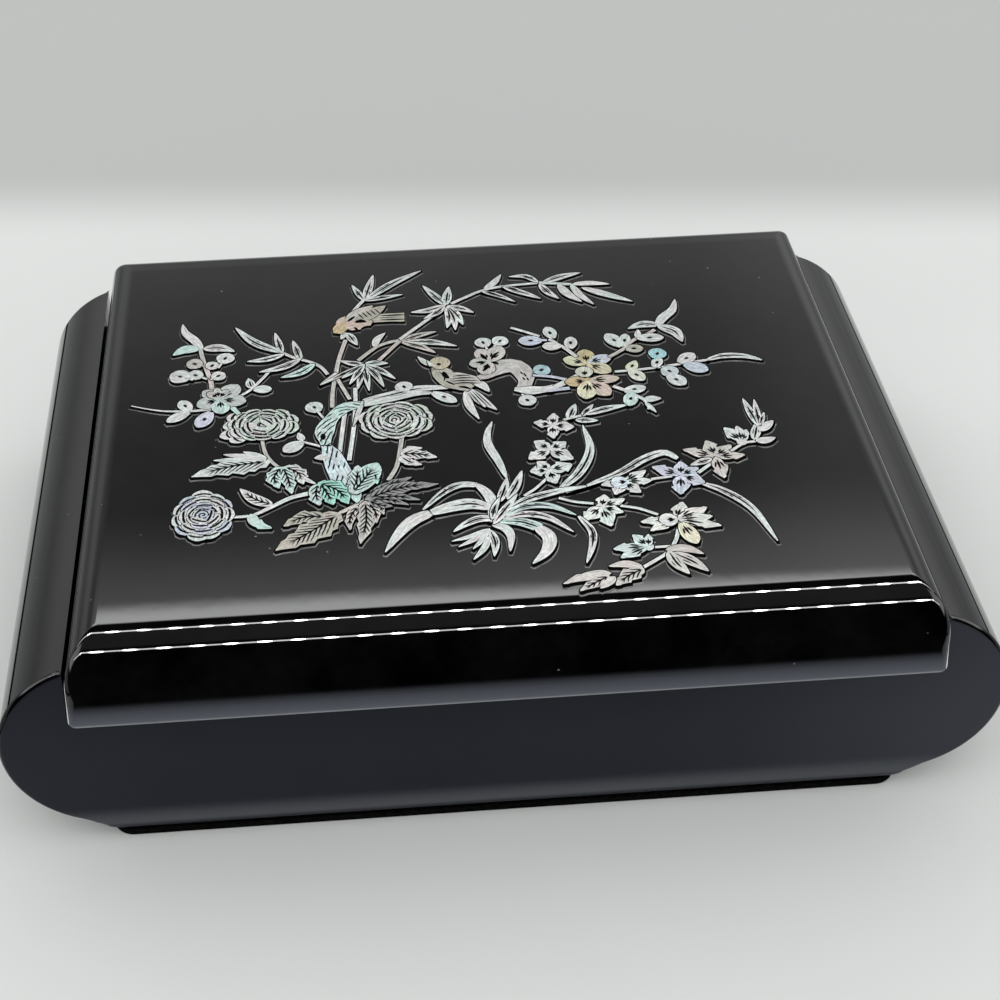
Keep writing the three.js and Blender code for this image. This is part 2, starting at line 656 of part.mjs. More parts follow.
function plumRight() {
  return [
    blossom(4.5, 23.5, 6.2, 6, 5, 0.1),
    ...roundLeaves([[3.5, 31.5, 4, 27], [8.5, 31.5, 6, 27]], 2.4),
    ribbon([[4, 18], [9, 19.5], [13.5, 14], [14, 8], [20, 6.5], [29, 9]], 3, 5, 2.5, 12),
    stem([[14, 13], [20, 12.5], [30, 10.5]], 1.1),
    ...roundLeaves([[19.5, 16, 16, 13], [13.5, 0.8, 14.5, 6]], 2.4),
    blossom(33.5, 18.2, 6.4, 6.4, 5, 0.6),
    blossom(33.5, 7.5, 7, 6, 5, 0.2),
    stem([[33, 22], [28, 29], [22, 34], [13, 38.5]], 0.9),
    ...roundLeaves([[24.5, 35, 23, 32], [17, 31.5, 22, 34], [30, 29.5, 28.5, 28], [24, 27.5, 29, 27.5]], 2.4),
    stem([[37, 19], [43, 23.5], [50, 31], [57, 35.5]], 0.9),
    ...roundLeaves([[43, 29.5, 44.5, 25], [48.5, 23.5, 45, 25], [54, 29.5, 50.5, 31], [47.5, 30, 47, 28]], 2.4),
    leaf(58, 35.5, 66.5, 49.5, 2.6),
    leaf(58, 36, 49, 36, 2.6),
    leaf(58, 36, 64, 27, 2.6),
    stem([[37, 13], [46, 13], [58, 15], [69, 16.5]], 0.9),
    ...roundLeaves([
      [47.5, 16.5, 48, 13], [48.5, 9.5, 48, 13], [55.5, 21, 56, 15], [57, 11, 56, 15],
      [59.5, 7, 57, 11], [63.5, 18.5, 62, 15.5], [66.5, 12.3, 63, 15.5],
    ], 2.4),
    ribbon([[69, 16.5], [76, 17.5], [86.5, 15.5]], 0.8, 2.6, 0.4),
    stem([[38, 6.5], [43, 3.5], [46.5, -1.5], [50, -6]], 0.9),
    ...roundLeaves([[46, 3.5, 43.5, 3], [43.5, -1, 45.5, 0.5], [51, -1, 47.5, -2.5]], 2.1),
  ];
}

function orchid() {
  return [
    ribbon([[3, -46], [4.5, -33], [1, -22], [1.8, -8.5]], 1, 2.6, 0.4),
    ribbon([[1, -47], [-4, -37], [-11, -35.5], [-20, -45]], 1.4, 2.2, 0.4),
    ribbon([[2, -46], [-10, -44], [-22, -49], [-31, -61]], 1.4, 3, 0.4),
    ribbon([[3, -47], [-1, -54], [2.5, -63.5]], 1.4, 2.4, 0.5),
    ribbon([[5, -48], [12, -53], [13, -61], [7.5, -69.5]], 1.4, 2.8, 0.5),
    ribbon([[5, -47], [14, -50], [19, -58]], 1.2, 2.2, 0.4),
    ribbon([[5, -46], [14, -46], [20, -49]], 1.2, 2, 0.4),
    ...fan(3, -47, [[75, 16], [60, 12], [38, 11], [-35, 16], [170, 13], [205, 12]], 2.4),
    ...fan(-1, -52, [[200, 12], [222, 13], [243, 14], [265, 11]], 2.6),
    stem([[6, -45], [14, -35], [17, -22], [19, -11], [26, -6.5], [33, -4.5]], 1),
    ...fan(16, -31.5, [[90, 4], [18, 6], [162, 6], [234, 6], [306, 5]], 4),
    ...fan(17, -22.5, [[90, 5], [18, 6], [162, 6], [234, 5], [306, 5]], 4),
    ...fan(19, -10.5, [[100, 5], [28, 6], [172, 6], [244, 6], [316, 5]], 4),
    ...fan(28.5, -5.5, [[120, 5], [60, 5], [-60, 4], [0, 5]], 3),
    leaf(31, -5, 39.3, -3.6, 2.4),
  ];
}

function sprayRight() {
  return [
    ribbon([[15, -42], [28, -36.5], [42, -29.5], [53, -27]], 1, 2.6, 0.6),
    ribbon([[19.5, -41.5], [27, -29], [29.5, -12.5]], 0.8, 2.4, 0.4),
    stem([[17, -42], [35, -39], [52, -37], [62, -31], [73, -24], [78, -16], [79, -6]], 1),
    ...fan(36, -38.5, [[80, 6], [150, 6], [225, 6], [300, 6], [10, 7]], 3.8),
    ...fan(52, -37, [[100, 6], [40, 6], [170, 7], [250, 7], [-40, 8]], 4),
    ...fan(63, -30, [[95, 9], [20, 7], [165, 7], [240, 6], [-66, 8]], 4.2),
    ...fan(73, -23.5, [[110, 7], [160, 6], [20, 8]], 3),
    ...fan(78, -15, [[115, 6], [30, 6], [-60, 9], [90, 12]], 2.8),
    ribbon([[57, -35], [66, -46], [71, -56], [73.5, -66.5]], 0.8, 2.8, 0.4),
  ];
}

function sprayLow() {
  return [
    stem([[18.5, -45], [29, -48], [40, -51.5], [49, -56], [48, -63], [42, -69], [33, -74.5], [24, -77]], 1),
    ribbon([[22, -45.8], [24.5, -58], [21.5, -71]], 0.8, 2.4, 0.4),
    ...fan(29.5, -48.5, [[85, 5], [20, 6], [160, 6], [235, 7], [300, 7]], 4.2),
    ...fan(47.5, -54.5, [[70, 7], [10, 12], [170, 10], [120, 7], [215, 7], [-65, 10], [-30, 9]], 4.4),
    stem([[47, -66.5], [40, -66.5], [34, -66]], 0.8),
    ...fan(36, -65.5, [[70, 5], [160, 7], [215, 6], [110, 6]], 3.2),
    ...fan(45, -67.5, [[60, 4], [-20, 8], [-50, 10], [-80, 9]], 3.6),
    ...fan(33, -75, [[60, 6], [120, 5], [-20, 4]], 3),
    ...fan(24, -77.5, [[100, 5], [170, 8], [210, 5], [60, 6]], 3),
  ];
}

function join(solids) {
  return solids.reduce((all, one) => all.add(one)).asOriginal();
}

// Each motif is one plate; a line of bare lacquer parts it from the next
const INLAY = {
  inlay_peony_left: peonyLeft, inlay_peony_right: peonyRight, inlay_peony_low: peonyLow,
  inlay_bird_upper: birdUpper, inlay_bird_lower: birdLower,
  inlay_rock_and_bamboo: rockAndBamboo, inlay_low_leaves: lowLeaves,
  inlay_plum_left: plumLeft, inlay_plum_right: plumRight,
  inlay_orchid: orchid, inlay_spray_right: sprayRight, inlay_spray_low: sprayLow,
};

const box = new THREE.Group();

function add(name, geometry, finish) {
  const mesh = new THREE.Mesh(geometry, finish);
  mesh.name = name;
  box.add(mesh);
}

function addSolid(name, body, finish) {
  add(name, geometryOf(body), finish);
}

// Case
addSolid('front_panel', casePanel(-1), satinLacquer);
addSolid('back_panel', backPanel(), satinLacquer);
add('left_end_moulding', endMoulding(-1), lacquer);
add('right_end_moulding', endMoulding(1), lacquer);
add('bottom_board', bottomBoard(), satinLacquer);
const padX = FOOT_WIDTH / 2 - BASE_PAD_SIDE_INSET;
const padY = CASE_DEPTH / 2 - BASE_PAD_FRONT_INSET;
add('base_pad', block(-padX, padX, -padY, padY, 0, BASE_PAD), felt);

// Lining and compartments
const liningTop = RIM_HEIGHT - LINING_BELOW_RIM;
const bayX = INNER_X - LINING;
const bayY = INNER_Y - LINING;
const bayFloor = FLOOR_Z + LINING;
const dividerTop = bayFloor + DIVIDER_HEIGHT;
const longFront = -bayY + FRONT_BAY_DEPTH;
const longBack = longFront + DIVIDER;
add('lining_floor', block(-bayX, bayX, -bayY, bayY, FLOOR_Z, bayFloor), velvet);
add('lining_left', block(-INNER_X, -bayX, -INNER_Y, INNER_Y, FLOOR_Z, liningTop), velvet);
add('lining_right', block(bayX, INNER_X, -INNER_Y, INNER_Y, FLOOR_Z, liningTop), velvet);
add('lining_front', block(-bayX, bayX, -INNER_Y, -bayY, FLOOR_Z, liningTop), velvet);
add('lining_back', block(-bayX, bayX, bayY, INNER_Y, FLOOR_Z, liningTop), velvet);
add('divider_long', block(-bayX, bayX, longFront, longBack, bayFloor, dividerTop), velvet);
const frontCross = -bayX + ROLL_BAY_WIDTH;
add('divider_front', block(frontCross, frontCross + DIVIDER, -bayY, longFront, bayFloor, dividerTop), velvet);
const middle = MIDDLE_BAY_WIDTH / 2;
add('divider_back_left', block(-middle - DIVIDER, -middle, longBack, bayY, bayFloor, dividerTop), velvet);
add('divider_back_right', block(middle, middle + DIVIDER, longBack, bayY, bayFloor, dividerTop), velvet);
for (let i = 0; i < ROLL_COUNT; i += 1) {
  add(`ring_roll_${i + 1}`, ringRoll(i), velvet);
}

// Lid
addSolid('lid_board', lidBoard(), lacquer);
addSolid('lid_front_rail', lidRail(-FAR, FAR, -FAR, -RAIL_Y), lacquer);
addSolid('lid_back_rail', lidBackRail(), lacquer);
addSolid('lid_left_rail', lidRail(-FAR, -RAIL_X, -RAIL_Y, RAIL_Y), lacquer);
addSolid('lid_right_rail', lidRail(RAIL_X, FAR, -RAIL_Y, RAIL_Y), lacquer);
const mirrorTop = LID_BOARD_Z - LID_LINING;
add('lid_lining', block(-RAIL_X, RAIL_X, -RAIL_Y, RAIL_Y, mirrorTop, LID_BOARD_Z), velvet);
add('mirror_glass', block(
  -MIRROR_WIDTH / 2, MIRROR_WIDTH / 2, -MIRROR_DEPTH / 2, MIRROR_DEPTH / 2, mirrorTop - MIRROR_THICKNESS, mirrorTop,
), glass);
addSolid('mirror_frame', mirrorFrame(mirrorTop), lacquer);

// Hinges
for (const [name, x] of [['left', -HINGE_OFFSET], ['right', HINGE_OFFSET]]) {
  addSolid(`hinge_${name}_case_leaf`, hingeLeaf(x, -1), brass);
  addSolid(`hinge_${name}_lid_leaf`, hingeLeaf(x, 1), brass);
  const half = HINGE_LENGTH / 2;
  add(`hinge_${name}_pin`, rodAlongX(PIN_RADIUS, x - half, x + half, PIN_Y, PIN_Z, 8), brass);
  for (const [end, dx] of [['outer', Math.sign(x) * SCREW_OFFSET], ['inner', -Math.sign(x) * SCREW_OFFSET]]) {
    addSolid(`hinge_${name}_case_screw_${end}`, screw(x + dx, -1), brass);
    addSolid(`hinge_${name}_lid_screw_${end}`, screw(x + dx, 1), brass);
  }
}

// Shell inlay on the lid
for (const [name, draw] of Object.entries(INLAY)) {
  addSolid(name, join(draw()), shell);
}

export default box;
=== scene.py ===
import math
import random

import bpy
from mathutils import Matrix, Vector


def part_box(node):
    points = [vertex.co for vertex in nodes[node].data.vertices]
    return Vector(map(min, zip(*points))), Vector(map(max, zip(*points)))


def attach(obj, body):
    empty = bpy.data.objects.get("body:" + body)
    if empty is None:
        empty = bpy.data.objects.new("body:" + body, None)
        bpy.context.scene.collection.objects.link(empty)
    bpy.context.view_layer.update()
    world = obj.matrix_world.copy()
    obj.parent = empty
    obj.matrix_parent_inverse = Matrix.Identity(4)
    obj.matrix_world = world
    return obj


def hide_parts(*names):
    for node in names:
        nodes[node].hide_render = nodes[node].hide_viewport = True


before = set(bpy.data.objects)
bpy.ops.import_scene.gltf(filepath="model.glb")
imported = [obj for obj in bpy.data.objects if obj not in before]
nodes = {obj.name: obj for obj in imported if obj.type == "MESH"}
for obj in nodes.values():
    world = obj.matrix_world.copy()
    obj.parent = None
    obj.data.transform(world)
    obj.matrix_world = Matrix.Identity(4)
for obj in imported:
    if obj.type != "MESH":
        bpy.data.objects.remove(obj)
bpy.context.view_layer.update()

# The camera
# A 70 mm lens looks 32 degrees down on the box from in front and a little to its left.
# The lens is shifted to the frame that the photograph kept.
camera_place = Vector((-0.04156, -0.45481, 0.42082))
turn, down, tilt = math.radians(3.936), math.radians(31.654), math.radians(-0.804)
ahead = Vector((math.sin(turn) * math.cos(down), math.cos(turn) * math.cos(down), -math.sin(down)))
level = Vector((math.cos(turn), -math.sin(turn), 0))
rightward = level * math.cos(tilt) + level.cross(ahead) * math.sin(tilt)
upward = rightward.cross(ahead)
bpy.ops.object.camera_add()
camera = bpy.context.object
facing = Matrix((rightward, upward, -ahead)).transposed().to_4x4()
camera.matrix_world = Matrix.Translation(camera_place) @ facing
camera.data.sensor_width = 36
camera.data.lens = 69.94
camera.data.shift_x = 0.0577
camera.data.shift_y = -0.2858
camera.data.clip_start = 0.01
bpy.context.scene.camera = camera
bpy.context.scene.view_settings.view_transform = "Standard"


# The finishes
# A finish is a Principled shader with the patterns of the real surface drawn in nodes, and in some places
# painted light and shade.
# Value carries one output of a node, and ordinary arithmetic on it adds Math nodes.
class Value:
    def __init__(self, tree, output):
        self.tree, self.output = tree, output

    def math(self, operation, *operands):
        return self.tree.node("ShaderNodeMath", {"operation": operation}, dict(enumerate(operands)))[0]

    def __add__(self, other):
        return self.math("ADD", self, other)

    def __radd__(self, other):
        return self.math("ADD", other, self)

    def __sub__(self, other):
        return self.math("SUBTRACT", self, other)

    def __rsub__(self, other):
        return self.math("SUBTRACT", other, self)

    def __mul__(self, other):
        return self.math("MULTIPLY", self, other)

    def __rmul__(self, other):
        return self.math("MULTIPLY", other, self)

    def __truediv__(self, other):
        return self.math("DIVIDE", self, other)

    def __pow__(self, other):
        return self.math("POWER", self, other)

    def __abs__(self):
        return self.math("ABSOLUTE", self)

    def __gt__(self, other):
        return self.math("GREATER_THAN", self, other)

    def __lt__(self, other):
        return self.math("LESS_THAN", self, other)

    def larger(self, other):
        return self.math("MAXIMUM", self, other)

    def smaller(self, other):
        return self.math("MINIMUM", self, other)

    def part(self):
        return self.math("FRACT", self)

    def ramp(self, low, high, at_low=0.0, at_high=1.0):
        settings = {"interpolation_type": "SMOOTHSTEP"}
        inputs = {"Value": self, "From Min": low, "From Max": high, "To Min": at_low, "To Max": at_high}
        return self.tree.node("ShaderNodeMapRange", settings, inputs)[0]


class Tree:
    def __init__(self, tree):
        self.tree = tree

    def node(self, kind, settings=None, inputs=None):
        made = self.tree.nodes.new(kind)
        for name, setting in (settings or {}).items():
            setattr(made, name, setting)
        for name, value in (inputs or {}).items():
            if isinstance(value, Value):
                self.tree.links.new(value.output, made.inputs[name])
            else:
                made.inputs[name].default_value = value
        return [Value(self, output) for output in made.outputs]

    def mix(self, factor, first, second):
        colors = [value if isinstance(value, Value) else (*value, 1) for value in (first, second)]
        return self.node("ShaderNodeMix", {"data_type": "RGBA"}, {0: factor, 6: colors[0], 7: colors[1]})[2]

    def place(self, source="Object"):
        return self.node("ShaderNodeTexCoord")[{"Generated": 0, "Object": 3}[source]]

    def split(self, vector):
        return self.node("ShaderNodeSeparateXYZ", None, {0: vector})

    def noise(self, place, scale, detail=2.0, rough=0.5):
        inputs = {"Vector": place, "Scale": scale, "Detail": detail, "Roughness": rough}
        return self.node("ShaderNodeTexNoise", None, inputs)[0]

    def stretched(self, place, scale):
        return self.node("ShaderNodeMapping", None, {"Vector": place, "Scale": scale})[0]

    def bump(self, height, depth):
        return self.node("ShaderNodeBump", None, {"Height": height, "Distance": depth})[0]


class Finish(Tree):
    def __init__(self, name, **fixed):
        self.material = bpy.data.materials.new(name)
        self.material.use_nodes = True
        super().__init__(self.material.node_tree)
        self.shader = self.tree.nodes["Principled BSDF"]
        for socket, value in fixed.items():
            self.shader.inputs[socket.replace("_", " ")].default_value = value

    def feed(self, **varying):
        for socket, value in varying.items():
            self.tree.links.new(value.output, self.shader.inputs[socket.replace("_", " ")])

    def put_on(self, piece):
        piece.data.materials.clear()
        piece.data.materials.append(self.material)

    def dress(self, piece, body, slot, *stands_for):
        """Give a finished piece this finish, its body and the solids it stands for. The slot is not used.
        """
        self.put_on(piece)
        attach(piece, body)
        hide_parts(*stands_for)


# The floor
# A sheet of pale card under the box. The photograph's background is a little darker far behind.
# In mirror reflections it ends just in front of the box and beside it, as the real sheet does.
def select_nothing():
    if bpy.context.mode != "OBJECT":
        bpy.ops.object.mode_set(mode="OBJECT")
    bpy.ops.object.select_all(action="DESELECT")


select_nothing()
bpy.ops.mesh.primitive_plane_add(size=6)
floor = bpy.context.object
floor.name = "floor"
card = Finish("pale card", Roughness=0.9)
card.shader.inputs["Specular IOR Level"].default_value = 0
place = card.place()
x, y, z = card.split(place)
grain = card.noise(place, 35.0, 3.0)
near_color = card.mix(grain, (0.79, 0.80, 0.79), (0.81, 0.82, 0.81))
behind_color = card.mix(y.ramp(0.09, 0.15), near_color, (0.775, 0.785, 0.775))
level_line = y + x * 0.0965
plain = card.mix(level_line.ramp(0.205, 0.262), behind_color, (0.532, 0.542, 0.532))
mirrored = card.node("ShaderNodeLightPath")[3]
sheet_middle, gap_color, wall_color, front_color = 0.014, (0.01,) * 3, (0.44, 0.45, 0.46), (0.002,) * 3
aside = abs(x - sheet_middle)
beside = card.mix(aside.ramp(0.202, 0.204), plain, gap_color)
beside = card.mix(aside.ramp(0.212, 0.225), beside, wall_color)
in_mirror = card.mix(y.ramp(-0.146, -0.152), beside, front_color)
card.feed(Base_Color=card.mix(mirrored, plain, in_mirror))
card.put_on(floor)

# The room and the lamps
# The photograph was taken in a small lit tent: two rows of lamps along its top, one in front of the
# box and one behind, and a lit back wall. Lacquer mirrors them, and everything else sees an even room.
world = bpy.data.worlds.new("tent")
bpy.context.scene.world = world
world.use_nodes = True
room = Tree(world.node_tree)
x, y, z = room.split(room.place("Generated"))
height = z / y.larger(0.0001)
behind = y.ramp(-0.05, 0.05)
wall = height.ramp(0.60, 0.79, 0.90, 0.40) + height.ramp(0.83, 0.95, 0.0, 1.5)
side = abs(x - 0.06).ramp(0.12, 0.30, 0.0, 0.3) + x.ramp(0.17, 0.25, 0.0, 0.3)
lower = height - x.larger(0) * 0.035
lit = lower.ramp(0.914, 0.930) * height.ramp(1.03, 0.99)
lit = lit * x.ramp(-0.26, -0.16) * x.ramp(0.36, 0.27, 0.4, 1.0)
overhead = z.ramp(0.80, 0.92, 0.02, 0.36) * y.ramp(-0.35, -0.20)
low = height.ramp(0.02, 0.60, 0.36, 1.0)
back = (wall + side) * low * height.ramp(1.02, 0.95) + lit * 7.1
flank = abs(x).ramp(0.35, 0.55) * y.ramp(0.30, 0.15) * y.ramp(-0.45, -0.25) * z.ramp(0.05, 0.2) * 4.0
mirrored_room = overhead + back * behind + flank
path = room.node("ShaderNodeLightPath")
seen, glossy, through = path[0], path[3], path[6]
mirror = glossy.larger(through)
strength = (1 - mirror) * (seen * 0.55 + (1 - seen)) + mirror * mirrored_room
background = world.node_tree.nodes["Background"]
background.inputs[0].default_value = (0.985, 1.0, 0.99, 1)
world.node_tree.links.new(strength.output, background.inputs[1])
world.cycles.sampling_method = "NONE"


def lamp_row(name, place, facing, pitch, glow, spread):
    """Small lamps behind a diffuser: a long dim strip, and before it a bright spot at each lamp."""
    rotation = (Vector(facing) - Vector(place)).to_track_quat("-Z", "Y").to_euler()
    lamps, strip_length = 33, 1.1
    for number in range(-1, lamps):
        whole = number < 0
        x = 0 if whole else (number - lamps // 2) * pitch
        location = (place[0] + x, place[1], place[2])
        bpy.ops.object.light_add(type="AREA", location=location, rotation=rotation)
        lamp = bpy.context.object
        lamp.name = f"{name}_{number + 1}"
        lamp.data.shape = "RECTANGLE" if whole else "ELLIPSE"
        lamp.data.size = strip_length if whole else pitch * 0.45
        lamp.data.size_y = spread if whole else spread * 1.3
        lamp.data.energy = glow * lamp.data.size * lamp.data.size_y * (1 if whole else 6)
        lamp.visible_diffuse = False
        if not whole:
            lamp.location -= lamp.rotation_euler.to_matrix().col[2] * 0.002


for name, place in (("lamp_behind", (0.02, 0.095, 0.40)), ("lamp_front", (0.02, -0.225, 0.36))):
    lamp_row(name, place, (0.02, -0.09, 0.07), 0.0138, 78, 0.020)

# Front and back panels
# Each is one board cut to the box's outline, with its outer edge eased and its foot edge rounded,
# in satin black lacquer with uneven streaks and clouds, painted paler towards the right end
# and with a painted highlight just above the foot.
MM = 0.001


def arc(centre, radius, start, end, count):
    steps = [math.radians(start + (end - start) * i / count) for i in range(count + 1)]
    return [(centre[0] + radius * math.cos(a), centre[1] + radius * math.sin(a)) for a in steps]


def bent(first, middle, last, count):
    points = []
    for i in range(1, count + 1):
        t = i / count
        points.append(tuple((1 - t) ** 2 * a + 2 * t * (1 - t) * b + t * t * c
                            for a, b, c in zip(first, middle, last)))
    return points


def linked(name, mesh):
    piece = bpy.data.objects.new(name, mesh)
    bpy.context.scene.collection.objects.link(piece)
    return piece


def lofted(name, loops):
    """A closed skin over loops that all have the same number of points, in metres."""
    count = len(loops[0])
    points = [point for loop in loops for point in loop]
    faces = []
    for row in range(len(loops) - 1):
        for i in range(count):
            j = (i + 1) % count
            faces.append((row * count + i, row * count + j, (row + 1) * count + j, (row + 1) * count + i))
    faces.append(tuple(reversed(range(count))))
    faces.append(tuple(range(len(points) - count, len(points))))
    mesh = bpy.data.meshes.new(name)
    mesh.from_pydata(points, [], faces)
    return linked(name, mesh)


def pick(piece):
    select_nothing()
    piece.select_set(True)
    bpy.context.view_layer.objects.active = piece


def modify(piece, kind, **settings):
    """Add a modifier with its settings and apply it at once."""
    modifier = piece.modifiers.new(kind.lower(), kind)
    for name, setting in settings.items():
        setattr(modifier, name, setting)
    bpy.ops.object.modifier_apply(modifier=modifier.name)


def shade(piece, degrees):
    pick(piece)
    bpy.ops.object.shade_smooth_by_angle(angle=math.radians(degrees))


def smooth(piece, degrees=40):
    pick(piece)
    bpy.ops.object.mode_set(mode="EDIT")
    bpy.ops.mesh.select_all(action="SELECT")
    bpy.ops.mesh.normals_make_consistent(inside=False)
    bpy.ops.object.mode_set(mode="OBJECT")
    shade(piece, degrees)
    modify(piece, "WEIGHTED_NORMAL", keep_sharp=True)


panel_inside, panel_outside = 80, 88
foot_x, foot_z = 111.0, 2.0
end_x, end_z, end_radius = 106.0, 35.0, 29.0
lip_x, rim_z = 115.5, 48.0
blend_x = 116.5
blend_angle = math.degrees(math.acos((blend_x - end_x) / end_radius))
lip_angle = math.degrees(math.acos((lip_x - end_x) / end_radius))


def ease(x, z):
    """How far the outer edge is rounded at a place on the outline, in mm."""
    at_rim, at_end, at_foot = 0.35, 1.5, 3.5
    if abs(x) <= lip_x + 0.01 and z > rim_z - 0.01:
        return at_rim
    risen = min(max((z - 2.2) / 3.8, 0), 1)
    return at_foot - (at_foot - at_end) * risen


foot_start, foot_edge = (foot_x - 6, foot_z), (foot_x - 0.7, 4.4)
blend_z = end_z - math.sqrt(end_radius ** 2 - (blend_x - end_x) ** 2)
half = [foot_start] + bent(foot_start, (foot_x - 2, foot_z), foot_edge, 8)
half += bent(foot_edge, (113.2, 6.7), (blend_x, blend_z), 8)
half += arc((end_x, end_z), end_radius, -blend_angle, lip_angle, 72)[1:]
half += [(lip_x, 55), (lip_x, rim_z)]
outline = half + [(x, rim_z) for x in (60, 0, -60)]
outline += [(-x, z) for x, z in reversed(half)] + [(x, foot_z) for x in (-60, 0, 60)]


def outward(points):
    normals = []
    for i, point in enumerate(points):
        before, after = points[i - 1], points[(i + 1) % len(points)]
        one = Vector((point[0] - before[0], point[1] - before[1])).normalized()
        two = Vector((after[0] - point[0], after[1] - point[1])).normalized()
        along = (one + two).normalized()
        across = Vector((along.y, -along.x))
        normals.append(across / max(0.5, across.dot(Vector((one.y, -one.x)))))
    return normals


def panel(name, side):
    normals = outward(outline)
    loops = [[(x * MM, side * panel_inside * MM, z * MM) for x, z in outline]]
    for step in range(9):
        angle = math.radians(90 * step / 8)
        loop = []
        for (x, z), n in zip(outline, normals):
            r = ease(x, z)
            inset = r * (1 - math.cos(angle))
            y = side * (panel_outside - r + r * math.sin(angle))
            loop.append(((x - n.x * inset) * MM, y * MM, (z - n.y * inset) * MM))
        loops.append(loop)
    piece = lofted(name, loops)
    smooth(piece)
    return piece


satin = Finish("satin black lacquer", IOR=1.5)
satin.shader.inputs["Specular IOR Level"].default_value = 0.22
place = satin.place()
x, y, z = satin.split(place)
cloudy = satin.noise(place, 14.0, 4.0, 0.6)
rubbing_and_painted_reflection = satin.noise(satin.stretched(place, (30, 30, 400)), 6.0, 2.0)
dim, pale, painted_highlight_pale = (0.0006, 0.0024, 0.0100), (0.0260, 0.0290, 0.0390), (0.060, 0.064, 0.074)
# A painted highlight: a paler band just above the rounded foot edge.
edge = z.ramp(0.0125, 0.0062) * z.ramp(0.0045, 0.0060)
# Cloudy tone at random, and painted light: paler towards the right end.
cloudy_tone_and_painted_light = cloudy * 0.35 + x.ramp(0.03, 0.14) * 0.65
satin.feed(
    Base_Color=satin.mix(edge, satin.mix(cloudy_tone_and_painted_light, dim, pale), painted_highlight_pale),
    Roughness=0.33 + cloudy * 0.10 + rubbing_and_painted_reflection * 0.05,
    Normal=satin.bump(satin.noise(place, 2600.0, 2.0), 0.000012),
)


def carve(piece, place, scale, turn=0):
    """Cut a block out of a piece."""
    select_nothing()
    bpy.ops.mesh.primitive_cube_add(size=1, location=place, rotation=(0, 0, turn))
    cutter = bpy.context.object
    cutter.scale = scale
    pick(piece)
    modify(piece, "BOOLEAN", operation="DIFFERENCE", solver="EXACT", object=cutter)
    bpy.data.objects.remove(cutter)


def hinge_pockets(piece, cuts):
    """Cut the places of both hinges, each given by its reach in y and z, in mm."""
    hinge_x, wide = 62, 36.6
    for side in (-1, 1):
        for y0, y1, z0, z1 in cuts:
            middle = (side * hinge_x * MM, (y0 + y1) / 2 * MM, (z0 + z1) / 2 * MM)
            carve(piece, middle, (wide * MM, (y1 - y0) * MM, (z1 - z0) * MM))


front = panel("front_board", -1)
back = panel("back_board", 1)
leaf_cut, knuckle_cut = (81.2, 100, 46.65, 60), (86.2, 100, 45.7, 60)
hinge_pockets(back, (leaf_cut, knuckle_cut))
shade(back, 40)
panels = (front, back)
for piece, node in zip(panels, ("front_panel", "back_panel")):
    satin.dress(piece, "case", "satin_lacquer", node)

# End mouldings
# Half-round pieces of wood between the panels, in the same gloss lacquer as the lid.
# Each has a step for the lid to sit on and a lip beside it.
gloss = Finish("gloss black lacquer", IOR=1.36)
place = gloss.place()
x, y, z = gloss.split(place)
peel = gloss.noise(place, 190.0, 1.0)
haze = gloss.noise(place, 9.0, 3.0, 0.6)
dust = gloss.node("ShaderNodeTexVoronoi", None, {"Vector": place, "Scale": 260.0})
speck = (dust[0] < 0.085) * gloss.node("ShaderNodeSeparateColor", None, {0: dust[1]})[0].ramp(0.90, 0.99)
under_lid = (rim_z - 0.2) * MM
# Painted reflection: the lowest part of the lid's front and back rolls is rougher and painted lighter
# towards the bottom edge.
rubbing_and_painted_reflection = z.ramp(0.058, 0.0535) * (z > under_lid) * (abs(y) > (panel_outside + 0.5) * MM)
mottle = gloss.noise(place, 38.0, 4.0, 0.7).ramp(0.35, 0.70)
ground = gloss.mix(mottle, (0.0004, 0.0004, 0.0005), (0.0034, 0.0032, 0.0032))
# The painted reflection grows lighter towards the lid's bottom edge, and a painted highlight line runs
# along that edge.
painted_reflection_and_highlight = gloss.mix(z.ramp(0.056, 0.049), (0.036, 0.040, 0.052), (0.085, 0.092, 0.112))
painted_reflection_and_highlight = gloss.mix(z.ramp(0.0503, 0.0499), painted_reflection_and_highlight, (0.22, 0.23, 0.25))
# A painted highlight: the lid's side faces, where they reach past the panels in front and behind, are
# painted near-white up to about 20 mm high.
left_side, right_side, painted_highlight_color = -0.1141, 0.11385, (0.85, 0.85, 0.87)
corner = ((x > right_side) + (x < left_side)).smaller(1) * (abs(y) > panel_outside * MM)
corner = corner * (z > under_lid) * z.ramp(0.069, 0.066)
lacquer = gloss.mix(corner, gloss.mix(rubbing_and_painted_reflection, ground, painted_reflection_and_highlight), painted_highlight_color)
gloss.feed(
    Base_Color=gloss.mix(speck, lacquer, (0.10, 0.10, 0.10)),
    Roughness=0.008 + haze * 0.022 + speck * 0.4 + rubbing_and_painted_reflection * 0.3,
    Normal=gloss.bump(peel, 0.0000012),
)

# The panels' edges above the foot are polished like the ends.
for piece in panels:
    piece.data.materials.append(gloss.material)
    for face in piece.data.polygons:
        if abs(face.normal.y) < 0.9 and face.center.z > 0.009:
            face.material_index = 1

moulding_x, moulding_z = 100, 6
profile = arc((end_x, end_z), end_radius, -90, lip_angle, 96)
profile += [(lip_x, rim_z), (moulding_x, rim_z), (moulding_x, moulding_z)]
for name, side in (("left_end", -1), ("right_end", 1)):
    loops = []
    for y in (-panel_inside, panel_inside):
        loops.append([(side * x * MM, y * MM, z * MM) for x, z in profile])
    piece = lofted(name, loops)
    smooth(piece, 30)
    gloss.dress(piece, "case", "gloss_lacquer", f"{name}_moulding")

